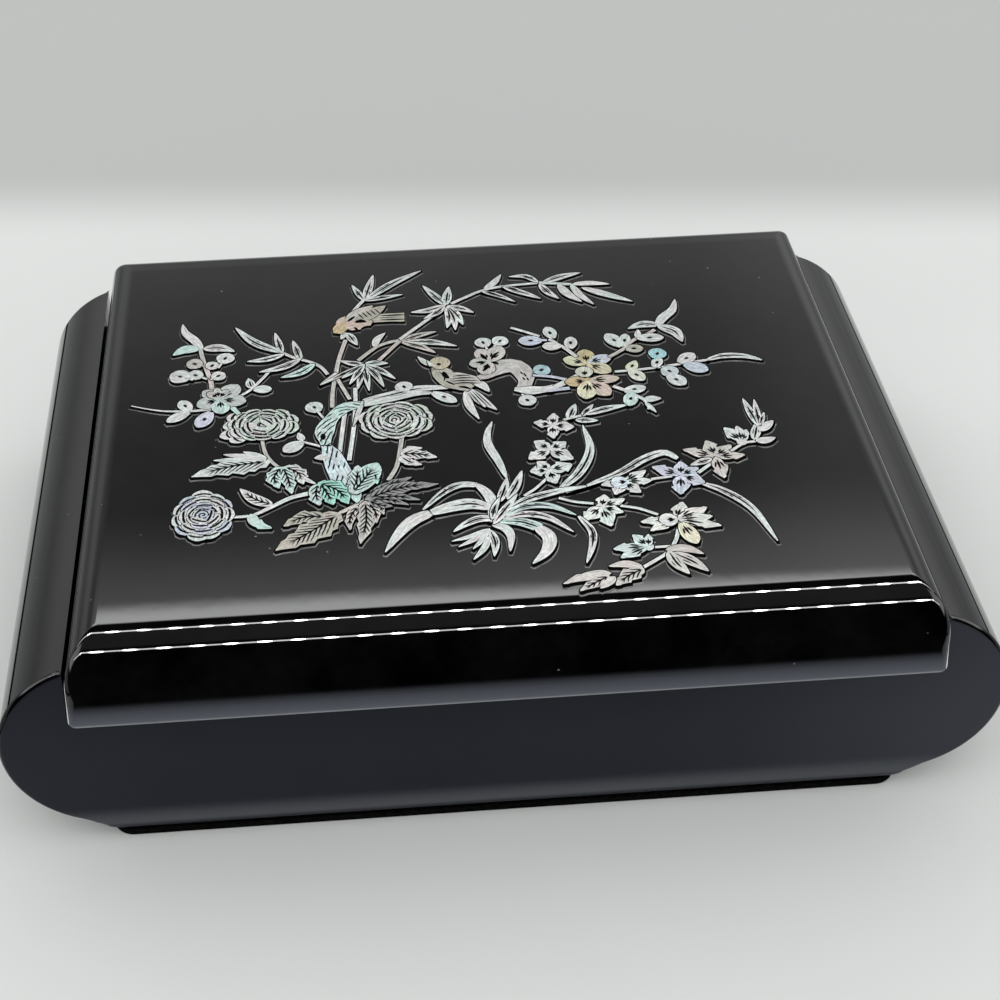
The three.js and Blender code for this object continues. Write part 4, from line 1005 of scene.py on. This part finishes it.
# Birds: one hanging on a cane, one perched on a branch
m = motif("bird_upper")
m.stem([(-36.3, 50.4), (-33.2, 56), (-31.4, 58.6)], 1.2)
m.fan(-31.5, 58, ((-35.2, 67.2, 2.2), (-28.1, 72.6, 2.7), (-19.2, 60.4, 2.1)), 2.2)
m.leaf(-31, 58.6, -12.5, 73.6, 2.9, SPLIT, silver, 0.04)
m.leaf(-37.6, 40.6, -34.7, 33.8, 2.7)
m.leaf(-38, 41, -39.6, 37.4, 1.8, PLAIN)
m.band([(-30.4, 47.6), (-25, 47.8), (-19.4, 47.6)], (2.2, 2.3, 2.5), PLAIN, tan)
m.ink(-27, 49, -18.8, 48.9, 0.8)
m.ink(-27, 46.7, -18.8, 46.4, 0.8)
m.ink(-27, 47.9, -21.5, 47.7, 0.35)
m.band([(-41, 43), (-37.5, 45.5), (-33, 46.3), (-29.8, 45)], (1.2, 4.2, 4.4, 1.2), PLAIN, rose)
m.band([(-40.5, 40.5), (-39.8, 43), (-38.2, 46)], (1.5, 2.3, 2.0), PLAIN, gold)
m.leaf(-37.6, 47.2, -29, 54.8, 4.0, PLAIN, warm, 0.04)
m.leaf(-34.8, 46.8, -25, 54.4, 5.2, PLAIN, tan)
for i in range(5):
    m.ink(-34.0 + 1.35 * i, 51.0 + 0.5 * i, -32.2 + 1.35 * i, 47.8 + 0.55 * i, 0.5)
m.ink(-37.4, 46.6, -34.8, 49.4, 1.1)
m.ink(-35.1, 46, -31.4, 46, 1.9, 0.15)
m.ink(-37.2, 42.6, -36.8, 41, 0.7)
m.ink(-35.4, 43.4, -34.2, 41.8, 0.9)
m = motif("bird_lower")
m.strip([(-34, 5.2), (-25, 7.8), (-17, 10), (-8, 9.7)], 1.1, SPLIT, silver, 2.0, 1.2)
m.strip([(-34, 3.4), (-26, 5.6), (-18, 7.6), (-12, 7.2)], 0.9, PLAIN, silver, 1.6, 0.6)
m.disc(-21.7, 11.2, 2.6, (-20.5, 8))
m.petal(-13.5, 7.6, -6.6, 2.4, 3.8, EYE)
m.leaf(-3.6, 7.6, -0.8, -6.4, 2.6, PLAIN, silver, -0.06)
m.leaf(-2.8, 7.8, 1.6, -1, 2.4, PLAIN)
m.leaf(-2.4, 8.4, 4.8, -2.6, 3.0, PLAIN, silver, -0.03)
for x, y, tip_x, tip_y in (
    (-3, 6.4, -0.2, -1.6), (-2.4, 6.8, 0.9, -1), (-1.7, 7.2, 2.2, -0.6), (-1, 7.4, 3.6, -1.4),
):
    m.ink(x, y, tip_x, tip_y, 0.42)
m.leaf(-1.4, 12.4, 3.4, 6.4, 3.0, PLAIN, silver, 0.1)
m.band([(-11.6, 20.4), (-9.6, 16.4), (-7.4, 12.8), (-4.2, 10.4), (-1.8, 8.4)],
       (1.9, 3.4, 3.6, 2.8, 1.6), PLAIN, tan)
m.band([(-9.4, 15.2), (-5.6, 14.4), (-1.6, 13), (1.2, 10.6)], (1.4, 2.6, 2.2, 0.8), PLAIN, warm)
m.ink(-9.4, 17.7, -7.9, 13.9, 1.8, -0.1)
m.ink(-11, 17.8, -9.6, 12.6, 0.6, 0.2)
m.ink(-9, 12.8, -6.4, 10.6, 0.8)
for x, y, tip_x, tip_y in (
    (-7, 14.9, -1.4, 15), (-7.4, 13.7, -0.2, 13.5), (-7.4, 12.5, 0.6, 12), (-7, 11.3, 0.6, 10.8),
):
    m.ink(x, y, tip_x, tip_y, 0.62, 0.05)
m.ink(-5.6, 9.6, -1.9, 8.1, 1.1, 0.1)
m.leaf(-11.4, 20.6, -16.6, 26, 2.1, PLAIN, silver, 0.08)
m.petal(-10.6, 19, -9.6, 25.3, 6.2, PLAIN, (0.46, 0.40, 0.28))
m.ink(-14.2, 24.4, -12.3, 18, 0.4, -0.08)
m.spot(-10.5, 21.4, 0.7, 0.6)

# Plum on the left: a flower with twigs of round leaves
m = motif("plum_left")
m.stem([(-83, 37), (-82, 31), (-80.6, 25), (-79.2, 19), (-78.8, 14.5)], 1.3, warm, 1.6)
m.strip([(-82.4, 36), (-84.8, 41), (-87.6, 45), (-88.8, 50)], 1.5, PLAIN, silver, 1.2, 0.2)
m.leaf(-83, 36.4, -91.2, 33.6, 4.0, PLAIN, cyan, -0.16)
m.leaf(-82, 36.2, -72.3, 34, 3.8, SPLIT, silver, 0.12)
m.disc(-84.4, 28.6, 2.5, (-81.6, 27.2), warm)
m.disc(-79, 27.2, 2.0, (-80.6, 25.4))
m.disc(-75.1, 30.6, 2.7, (-77.2, 25.8))
m.disc(-84, 22.8, 2.4, (-80.4, 20.4))
m.disc(-88.6, 22.4, 3.2, (-84.6, 20.4))
m.disc(-77, 21.7, 2.2, (-79.4, 20))
m.stem([(-70, 11.3), (-67.2, 14), (-64, 18.8), (-61.6, 22.8)], 1.0)
m.leaf(-67, 14.6, -68, 19.6, 2.8)
m.petal(-66.4, 14, -61, 13.6, 3.6, PLAIN)
m.stem([(-77, 5.4), (-85, 5), (-92, 5.6), (-97, 7), (-102.4, 9.1)], 1.2, silver, 0.4)
m.petal(-85, 5.2, -88, 10.2, 4.0, EYE)
m.petal(-85.2, 4.6, -91.6, 0.4, 3.6, PLAIN)
m.petal(-78.8, 4, -82.6, -3, 4.8, EYE, lilac)
m.stem([(-74, 8), (-70.6, 2.2)], 2.0, cyan, 1.4)
plum_tint = (0.46, 0.50, 0.48)
m.blossom(-76.4, 10, ((-81.4, 14.5, 4.6), (-83, 7, 5.6), (-75.6, 2.8, 5.4, cyan), (-68.6, 8.2, 5.6),
                      (-71, 16.6, 6.2)), plum_tint)
m.blossom(-76.6, 10.6, ((-80, 13.6, 3.0, warm), (-77.4, 15.6, 2.2, warm), (-74, 14.4, 2.4)), plum_tint)

# Plum on the right: three flowers on a gnarled branch, and twigs of round leaves
m = motif("plum_right")
m.band([(-0.6, 13.4), (3.6, 14.6), (8.4, 18.6), (12.6, 18.4), (14.8, 14), (14.6, 9.8), (13, 6.6)],
       (0.8, 1.6, 3.6, 3.5, 3.2, 2.2, 1.9), PLAIN, (0.50, 0.48, 0.46))
for x, y, tip_x, tip_y in (
    (13.6, 15.6, 14.3, 14), (14.6, 14.8, 15.2, 12.8), (14, 12.8, 14.7, 11), (15.3, 12.4, 15.7, 10.8),
):
    m.ink(x, y, tip_x, tip_y, 0.6)
m.band([(11, 7), (15.5, 6), (20.5, 6.2), (24, 7.6), (27.8, 9.8)], (0.9, 2.1, 1.5, 1.2, 1.0))
m.stem([(20.6, 5.4), (27.4, 6)], 1.5, lilac)
m.stem([(17.2, 13.4), (22.6, 12.2), (27, 10.4)], 1.2, lilac)
m.stem([(23, 7.4), (30.5, 12.2)], 1.2)
m.disc(20.2, 15.8, 2.6, (18, 13.8), (0.36, 0.50, 0.56))
m.disc(14.2, 1.2, 2.6, (13, 4.4))
m.disc(3.9, 31.6, 2.5, (5, 27.4))
m.disc(9.2, 31.9, 2.5, (6.4, 28.2))
m.blossom(4.8, 21.4, ((2, 28.2, 5), (9.2, 29, 5.6), (-1.3, 20.6, 4.8),
                      (2.6, 15, 5.4)), (0.52, 0.49, 0.46))
for tip_x, tip_y, width in (
    (2.6, 25.9, 1.0), (8.4, 26.2, 1.1), (0.6, 21.5, 1.0), (2.4, 16.6, 1.3), (7.6, 19.8, 1.3),
):
    m.ink(4.8 + (tip_x - 4.8) * 0.2, 21.4 + (tip_y - 21.4) * 0.2, tip_x, tip_y, width, 0.08)
m.stem([(31.6, 21.4), (28.6, 26.2), (24.4, 31.4)], 1.3)
m.petal(30.2, 25.8, 31.2, 32, 3.9, EYE)
m.petal(27.6, 27.6, 21.8, 27.8, 4.2, PLAIN)
m.petal(25.6, 31.6, 24.4, 38, 4.0, EYE)
m.petal(22, 30.9, 14.8, 31.4, 5.0, EYE, lilac)
m.stem([(23.6, 30.9), (21, 31.2)], 1.0, lilac)
m.stem([(13.2, 38.6), (17.4, 36), (21.6, 33.2)])
m.stem([(41.4, 20.4), (46.4, 24.2), (50, 28.4), (55, 31.4), (57.6, 33.4)], 1.3, warm)
m.petal(46, 25.4, 42.2, 32.6, 4.8, EYE)
m.petal(46.6, 25.2, 48.2, 32, 3.4, EYE)
m.petal(47, 24.2, 52.4, 23.9, 4.0, EYE, tan)
m.petal(51.4, 29.6, 59.6, 29, 4.2, EYE)
m.leaf(51.6, 29.4, 52.4, 33.8, 2.0, PLAIN)
m.leaf(59.6, 36, 49.4, 34.8, 3.4, SPLIT, silver, -0.14)
m.strip([(58.6, 35.6), (61.4, 40), (65, 44), (66.8, 49.6)], 1.5, PLAIN, silver, 1.6, 0.2)
m.leaf(58.8, 35.6, 65, 26.4, 4.2, SPLIT, silver, 0.18)
m.stem([(42, 13), (48, 13.2), (55, 14), (62, 15), (70.6, 16.3)])
m.strip([(70.4, 16.3), (76, 18), (82, 17.4), (87.3, 14.8)], 1.4, SPLIT, silver, 0.6, 0.4)
m.leaf(46.2, 12.8, 49.2, 18, 3.6, EYE, (0.60, 0.58, 0.44))
m.petal(46.6, 13.4, 50, 7.8, 4.2, EYE, (0.66, 0.66, 0.58))
m.petal(54.2, 14, 56.6, 19, 3.2, EYE)
m.disc(56.3, 21, 2.7, (55, 17.6), (0.33, 0.55, 0.60))
m.disc(58.4, 11.6, 2.7, (56.6, 14.4), (0.52, 0.58, 0.60))
m.petal(57.6, 9.8, 62, 4.6, 5.0, EYE, (0.56, 0.60, 0.60))
m.petal(62, 15.6, 67.4, 20, 4.6, EYE)
m.petal(63.4, 14.8, 70, 11, 5.0, PLAIN, lilac)
m.stem([(40.4, 5.8), (43.6, 3.4)], 1.4)
m.petal(43.2, 3, 50, 4.4, 3.8, EYE)
m.petal(45.6, 2.4, 43.6, -4.2, 4.2, EYE, cyan)
m.stem([(45.6, 1), (48.4, -1.6), (49.2, -6.4)], 1.6, silver, 0.9)
m.leaf(48.4, -1.8, 53.6, -1.5, 2.8, PLAIN, silver, 0.05)
m.leaf(48.6, -3, 51, -8, 1.4, PLAIN)
m.blossom(34.2, 17.8, ((27.4, 20.8, 4.8, (0.60, 0.56, 0.38)), (34.4, 25, 5.4, gold),
                       (42, 20.8, 4.6, lilac), (40.8, 12.8, 5.4, (0.58, 0.52, 0.34))), gold)
m.blossom(33.4, 9, ((26.4, 8.8, 4.6, gold), (42.8, 9.6, 4.0, rose), (38.8, 1.4, 5.8, rose),
                    (31.4, 0.2, 5.8, (0.62, 0.58, 0.40))), gold)
m.disc(32.8, 13.6, 2.6, (32.8, 10.6), (0.62, 0.60, 0.50), PETAL)

# Orchid: a tuft of long curved blades, with four flowers up its stalk
m = motif("orchid")
m.strip([(-19.8, -45.2), (-14, -38.6), (-9, -35.6), (-4, -36)], 0.9, SPLIT, silver, 0.5, 1.8)
m.strip([(-4.2, -35.8), (-1.6, -40), (-0.6, -45), (-1.6, -52)], 1.2, PLAIN, silver, 1.2, 1.6)
m.strip([(-1.6, -46), (-6, -44), (-11, -44.4), (-17.6, -46.6)], 1.6, SPLIT, silver, 2.0, 2.4)
m.strip([(-17.9, -46.7), (-23, -49.6), (-27, -54.6), (-31, -61.6)], 1.5, PLAIN, silver, 2.6, 0.2)
m.strip([(-0.6, -50.6), (-5, -50.4), (-9, -52.4), (-12.2, -55)], 1.0, SPLIT, silver, 1.8, 0.3)
for tip in ((-13, -58.8), (-11.4, -61.2), (-7.6, -62.4)):
    m.leaf(-2.4, -54.6, *tip, 1.6, PLAIN, silver, 0.05)
m.leaf(-2.6, -57.6, -7.8, -66.6, 1.8, PLAIN, silver, 0.06)
m.leaf(-2.4, -55, -2.2, -65.8, 2.4, SPLIT, silver, 0.08)
m.strip([(4.4, -33.8), (2.8, -26), (0.8, -19), (0.9, -13.6), (2.8, -8)], 1.4, PLAIN, silver, 0.6, 0.3)
m.leaf(1.2, -44, 4.5, -33.6, 2.6, SPLIT, silver, -0.03)
m.leaf(3.6, -43, 9, -31, 2.6, SPLIT, silver, -0.03)
m.strip([(-1.4, -53), (1.6, -54.6), (3, -58), (2.2, -64.2)], 1.3, PLAIN, silver, 1.2, 0.3)
m.strip([(0.6, -52), (6, -52.6), (10.4, -55), (10.6, -56)], 1.2, SPLIT, cyan, 1.0, 2.6)
m.strip([(10.6, -55.2), (13.2, -59.6), (11.8, -65), (7.6, -69.6)], 1.5, PLAIN, silver, 2.6, 0.3)
m.strip([(1.6, -51), (8, -49.6), (14, -51.6), (20, -58)], 1.3, SPLIT, silver, 0.8, 0.3)
m.strip([(2.4, -49.6), (8, -46.4), (15, -46.8), (21.6, -51.2)], 1.3, SPLIT, cyan, 0.8, 0.3)
m.strip([(3, -47.6), (9, -43.6), (17, -41), (26, -39.4)], 1.3, SPLIT, silver, 0.8, 0.6)
m.leaf(-1.2, -53, 6.6, -41, 2.4)
m.leaf(-1.4, -51, 1.6, -42, 1.8, SPLIT, silver, 0.04)
m.stem([(8.4, -42), (12, -39), (15.4, -35.2)], 0.9)
m.blossom(16.6, -31.6, ((11.2, -31.6, 4.2), (17.8, -37.6, 4.0), (13.8, -27.4, 3.6),
                        (23.4, -29.6, 4.8)), silver, True)
m.blossom(18, -22.4, ((11.4, -26.2, 4.4), (14, -18.2, 4.2), (23, -19.4, 3.8),
                      (24, -27.4, 4.8)), silver, True)
m.blossom(20, -11.4, ((14.8, -9.6, 3.4), (21.2, -5.8, 3.2), (26.2, -12.8, 4.4),
                      (19.6, -17.6, 3.2)), silver, True)
m.stem([(23.6, -9.2), (29, -7.6)], 1.0)
m.leaf(25, -9, 28, -2, 2.8)
m.leaf(27, -9.4, 33.6, -10.2, 2.4)
m.leaf(29, -8, 33.2, -2.4, 1.8)
m.leaf(30, -7, 43.2, -3.6, 2.6, SPLIT, silver, 0.03)

# Spray on the right: blades and four flowers climbing to the edge
m = motif("spray_right")
m.strip([(18.4, -40), (25, -33), (29.4, -23), (28.8, -12)], 1.5, SPLIT, silver, 1.0, 0.3)
m.strip([(26, -39), (36, -34.4), (44, -28.8), (50, -26.6), (53.4, -29.6)], 1.2, SPLIT, silver, 0.6, 1.4)
m.stem([(20, -41.4), (27, -38.8), (33, -36.4)], 1.0)
m.strip([(57.4, -40.4), (64, -45), (70, -53), (73.8, -66.4)], 1.4, SPLIT, silver, 0.6, 0.3)
m.blossom(36.6, -38.4, ((30.2, -39.2, 3.0), (33.4, -43.6, 3.4), (40.6, -43.4, 3.8), (44.8, -38.4, 3.2),
                        (43.6, -34, 3.0)), silver, True)
m.disc(35.6, -38.6, 2.5, (38, -38.2), (0.70, 0.72, 0.80), PETAL)
m.stem([(44.4, -38), (50.4, -37.2)], 1.0)
m.blossom(53, -37, ((45.6, -32.6, 4.2), (54, -31, 3.8), (58.4, -34.2, 4.0), (59, -41, 4.8),
                    (51.4, -45.2, 4.8)), lilac, True)
m.stem([(58, -36.4), (64.4, -31)])
m.blossom(64.2, -29.6, ((55.6, -25.8, 3.6), (63, -22.4, 4.4), (69.6, -25, 3.8), (72.6, -29.8, 3.4),
                        (64.8, -39.4, 4.2)), warm, True)
m.leaf(63, -30.6, 56.4, -33, 2.4)
m.stem([(69, -27.8), (73.4, -24.6), (77.4, -24)], 1.0)
m.blossom(73, -23.8, ((75.4, -18.4, 2.8), (69.2, -17, 4.0), (73, -16.6, 3.2)), silver, True)
m.leaf(77, -23.8, 82.9, -22.8, 2.8, PLAIN, silver, -0.08)
m.leaf(76.6, -23.4, 79.6, -14.8, 2.8)
m.leaf(79, -19.4, 84, -15, 3.0, PLAIN)
m.leaf(79.4, -17, 82.2, -11, 1.8)
m.leaf(79.2, -17, 77.4, -3.8, 2.4)
m.leaf(79.6, -17, 80.6, -4.6, 2.0)

# Spray at the front: flowers and buds hanging over the edge of the flat
m = motif("spray_low")
m.stem([(17.8, -43.6), (22, -45.6), (27, -46.8)], 1.0)
m.blossom(29, -48.4, ((30.6, -43.4, 3.8), (35.8, -45.6, 3.0), (34.6, -51.2, 3.0), (30.4, -56.6, 4.6),
                      (23.6, -53.4, 4.6)), (0.66, 0.70, 0.66), True)
m.stem([(34.2, -48.4), (39, -50), (43.8, -53)], 1.0)
m.stem([(48.2, -59.4), (46.6, -64), (43.4, -68.6), (36, -73.8)])
m.stem([(45.4, -66), (38.4, -66)], 0.9)
m.blossom(48.4, -55.4, ((51.4, -48.4, 4.2), (38.6, -55.6, 3.4), (40.6, -59.4, 3.0), (57.6, -51.2, 4.0),
                        (60, -59, 3.6), (58.4, -55, 4.0)), (0.70, 0.68, 0.64), True)
m.disc(46.2, -55.4, 2.5, (48.6, -55.4), silver, PETAL)
m.petal(49.4, -57, 52.2, -65.6, 4.6, PETAL, (0.66, 0.64, 0.46))
m.blossom(39, -65.6, ((31, -69.4, 3.4), (29.6, -65.8, 3.8), (35.6, -60.6, 3.4),
                      (39.8, -60.8, 2.4)), (0.56, 0.64, 0.63), True)
m.leaf(43.4, -67.4, 53.2, -69.8, 3.0, PLAIN, warm, 0.14)
m.leaf(44, -67.8, 48, -77.2, 3.6, SPLIT, warm, -0.06)
m.leaf(45, -68.6, 53.2, -76.6, 3.6, SPLIT, warm, 0.04)
m.leaf(36.2, -73.6, 27.4, -72.4, 2.6, PLAIN, warm, -0.12)
m.leaf(36.4, -74, 28.2, -79.8, 5.2, VEINS, warm, -0.05, 3)
m.leaf(27.6, -75, 14.6, -78, 3.4, PLAIN, warm, -0.06, 2)
m.leaf(27, -76, 18.6, -81, 3.4, VEINS, warm, 0, 2)
m.leaf(28.4, -76.6, 24, -80.6, 2.6, PLAIN, warm)
m.strip([(22.2, -51.8), (24.9, -58), (24.2, -64), (21.8, -70.6)], 1.1, SPLIT, silver, 0.8, 0.3)

# The finish of the shell: silvery nacre that turns to green and pink, with black in its engraving
pearl = Finish("mother of pearl", IOR=1.55, Coat_Roughness=0.12)
place = pearl.place()
cut = pearl.node("ShaderNodeAttribute", {"attribute_name": "across"})
run, off, side = pearl.split(cut[1])
t = cut[3]
kind, seed = pearl.split(pearl.node("ShaderNodeAttribute", {"attribute_name": "kind"})[1])[:2]
tint = pearl.node("ShaderNodeAttribute", {"attribute_name": "tint"})[0]
shaky = pearl.noise(place, 700.0, 2.0)
off_line = abs(off) + (shaky - 0.5) * 0.25
reach = abs(off) / side.larger(0.02)
rim = reach - abs(off)


def line(distance, half):
    return distance.ramp(half * 1.35, half * 0.65)


def of_kind(number):
    return abs(kind - number) < 0.5


middle = t.ramp(0.06, 0.12) * t.ramp(0.85, 0.70)
broken = pearl.noise(place, 420.0, 1.0).ramp(0.42, 0.50)
split = line(off_line, t.ramp(0.10, 0.35, 0.12, 0.34) * t.ramp(0.74, 0.50, 0.3, 1.0))
split = split * t.ramp(0.08, 0.12) * t.ramp(0.74, 0.66)
halves = line(abs(abs(off) - reach * 0.52) + (shaky - 0.5) * 0.3, 0.15)
split = split.larger(halves * t.ramp(0.22, 0.30) * t.ramp(0.62, 0.50) * broken)
slant = ((run - abs(off) * 1.5 + (shaky - 0.5) * 0.7) / 1.9).part()
veins = line(abs(slant - 0.5) * 1.9, 0.52 - side * 0.34) * side.ramp(0.88, 0.70) * middle
veins = veins.larger(line(off_line, 0.28) * middle)
whole = run / t.larger(0.03)
centre = run - whole * 0.48
eye = line((centre * centre * 0.4 + off * off) ** 0.5 + (shaky - 0.5) * 0.4, 0.5)
almond = t.ramp(0.12, 0.32, 0.10, 0.40) * t.ramp(0.60, 0.36, 0.25, 1.0)
strokes = line(off_line, almond) * t.ramp(0.10, 0.16) * t.ramp(0.62, 0.54)
for lean in (0.27, -0.27):
    beside = line(abs(off - run * lean) + (shaky - 0.5) * 0.2, almond * 0.8)
    strokes = strokes.larger(beside * t.ramp(0.22, 0.28) * t.ramp(0.52, 0.44))
angle = off.math("ARCTAN2", off, centre)
turned = (centre * centre + off * off) ** 0.5 / 1.15 - angle / 6.283 + shaky * 0.3
coil = line(abs(turned.part() - 0.5) * 1.15, 0.27)
fold = line(abs((t - 0.70 + side * side * 0.16) * whole) + (shaky - 0.5) * 0.4, 0.36)
fold = fold * side.ramp(0.98, 0.75)
marks = abs(((off + run * 0.45 + (shaky - 0.5) * 0.7) / 1.6).part() - 0.5) * 1.6
cracks = line(marks, 0.26) * pearl.noise(place, 210.0, 1.0).ramp(0.44, 0.50) * side.ramp(0.92, 0.75)
engraved = of_kind(SPLIT) * split
drawn = ((VEINS, veins), (EYE, eye), (PETAL, strokes), (FOLD, fold), (CRACKS, cracks), (COIL, coil))
for number, lines in drawn:
    engraved = engraved.larger(of_kind(number) * lines)
shifted = pearl.node("ShaderNodeVectorMath", {"operation": "ADD"}, {0: place, 1: seed})[0]
turning = pearl.noise(shifted, 70.0, 3.0, 0.6)
flame = pearl.noise(pearl.stretched(shifted, (90, 260, 90)), 1.0, 3.0, 0.6)
sheen = pearl.mix(turning.ramp(0.38, 0.62), (0.90, 1.0, 0.98), (1.0, 0.965, 0.985))
sheen = pearl.mix(flame.ramp(0.45, 0.75) * 0.35, sheen, (0.70, 0.74, 0.72))
grown = pearl.node("ShaderNodeCombineXYZ", None, {0: run * 0.28, 1: off * 2.4, 2: seed * 40})[0]
streak = pearl.noise(grown, 1.0, 3.0, 0.65)
mottled = pearl.noise(place, 850.0, 2.0, 0.6)
depth = streak.ramp(0.36, 0.62, 0.66, 1.12) * mottled.ramp(0.3, 0.7, 0.86, 1.10)
# A painted highlight: each piece is a little paler near its rim.
depth = depth * rim.ramp(0.1, 0.45, 1.15, 1.0)
layered = pearl.node("ShaderNodeVectorMath", {"operation": "MULTIPLY"}, {0: tint, 1: sheen})[0]
nacre = pearl.node("ShaderNodeVectorMath", {"operation": "SCALE"}, {0: layered, "Scale": depth})[0]
pearl.feed(Base_Color=nacre, Roughness=0.30 + flame * 0.15)
filling = pearl.node("ShaderNodeBsdfDiffuse", None, {"Color": (0.004, 0.004, 0.005, 1)})[0]
surface = Value(pearl, pearl.shader.outputs["BSDF"])
filled = pearl.node("ShaderNodeMixShader", None, {0: engraved, 1: surface, 2: filling})[0]
pearl.tree.links.new(filled.output, pearl.tree.nodes["Material Output"].inputs["Surface"])
# Black lacquer for the outlines, the engraved marks and the holes, also used for the painted shadow under
# each piece.
black_bedding_and_shadow = Finish("black lacquer and painted shadow", Roughness=0.6)
black_bedding_and_shadow.shader.inputs["Specular IOR Level"].default_value = 0
grain = black_bedding_and_shadow.noise(black_bedding_and_shadow.place(), 300.0)
black_bedding_and_shadow.feed(Base_Color=black_bedding_and_shadow.mix(grain, (0.0015, 0.0015, 0.0015), (0.006, 0.006, 0.006)))
# A painted highlight: the grey line below each piece.
highlight_paint = Finish("painted highlight below the shells", Roughness=0.6)
highlight_paint.shader.inputs["Specular IOR Level"].default_value = 0.2
thin = highlight_paint.noise(highlight_paint.place(), 110.0, 3.0, 0.6).ramp(0.35, 0.65)
highlight_paint.feed(Base_Color=highlight_paint.mix(thin, (0.035, 0.034, 0.034), (0.16, 0.155, 0.15)))
for name, m in motifs.items():
    piece = m.make((pearl, black_bedding_and_shadow, highlight_paint))
    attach(piece, "lid")
    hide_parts(f"inlay_{name}")
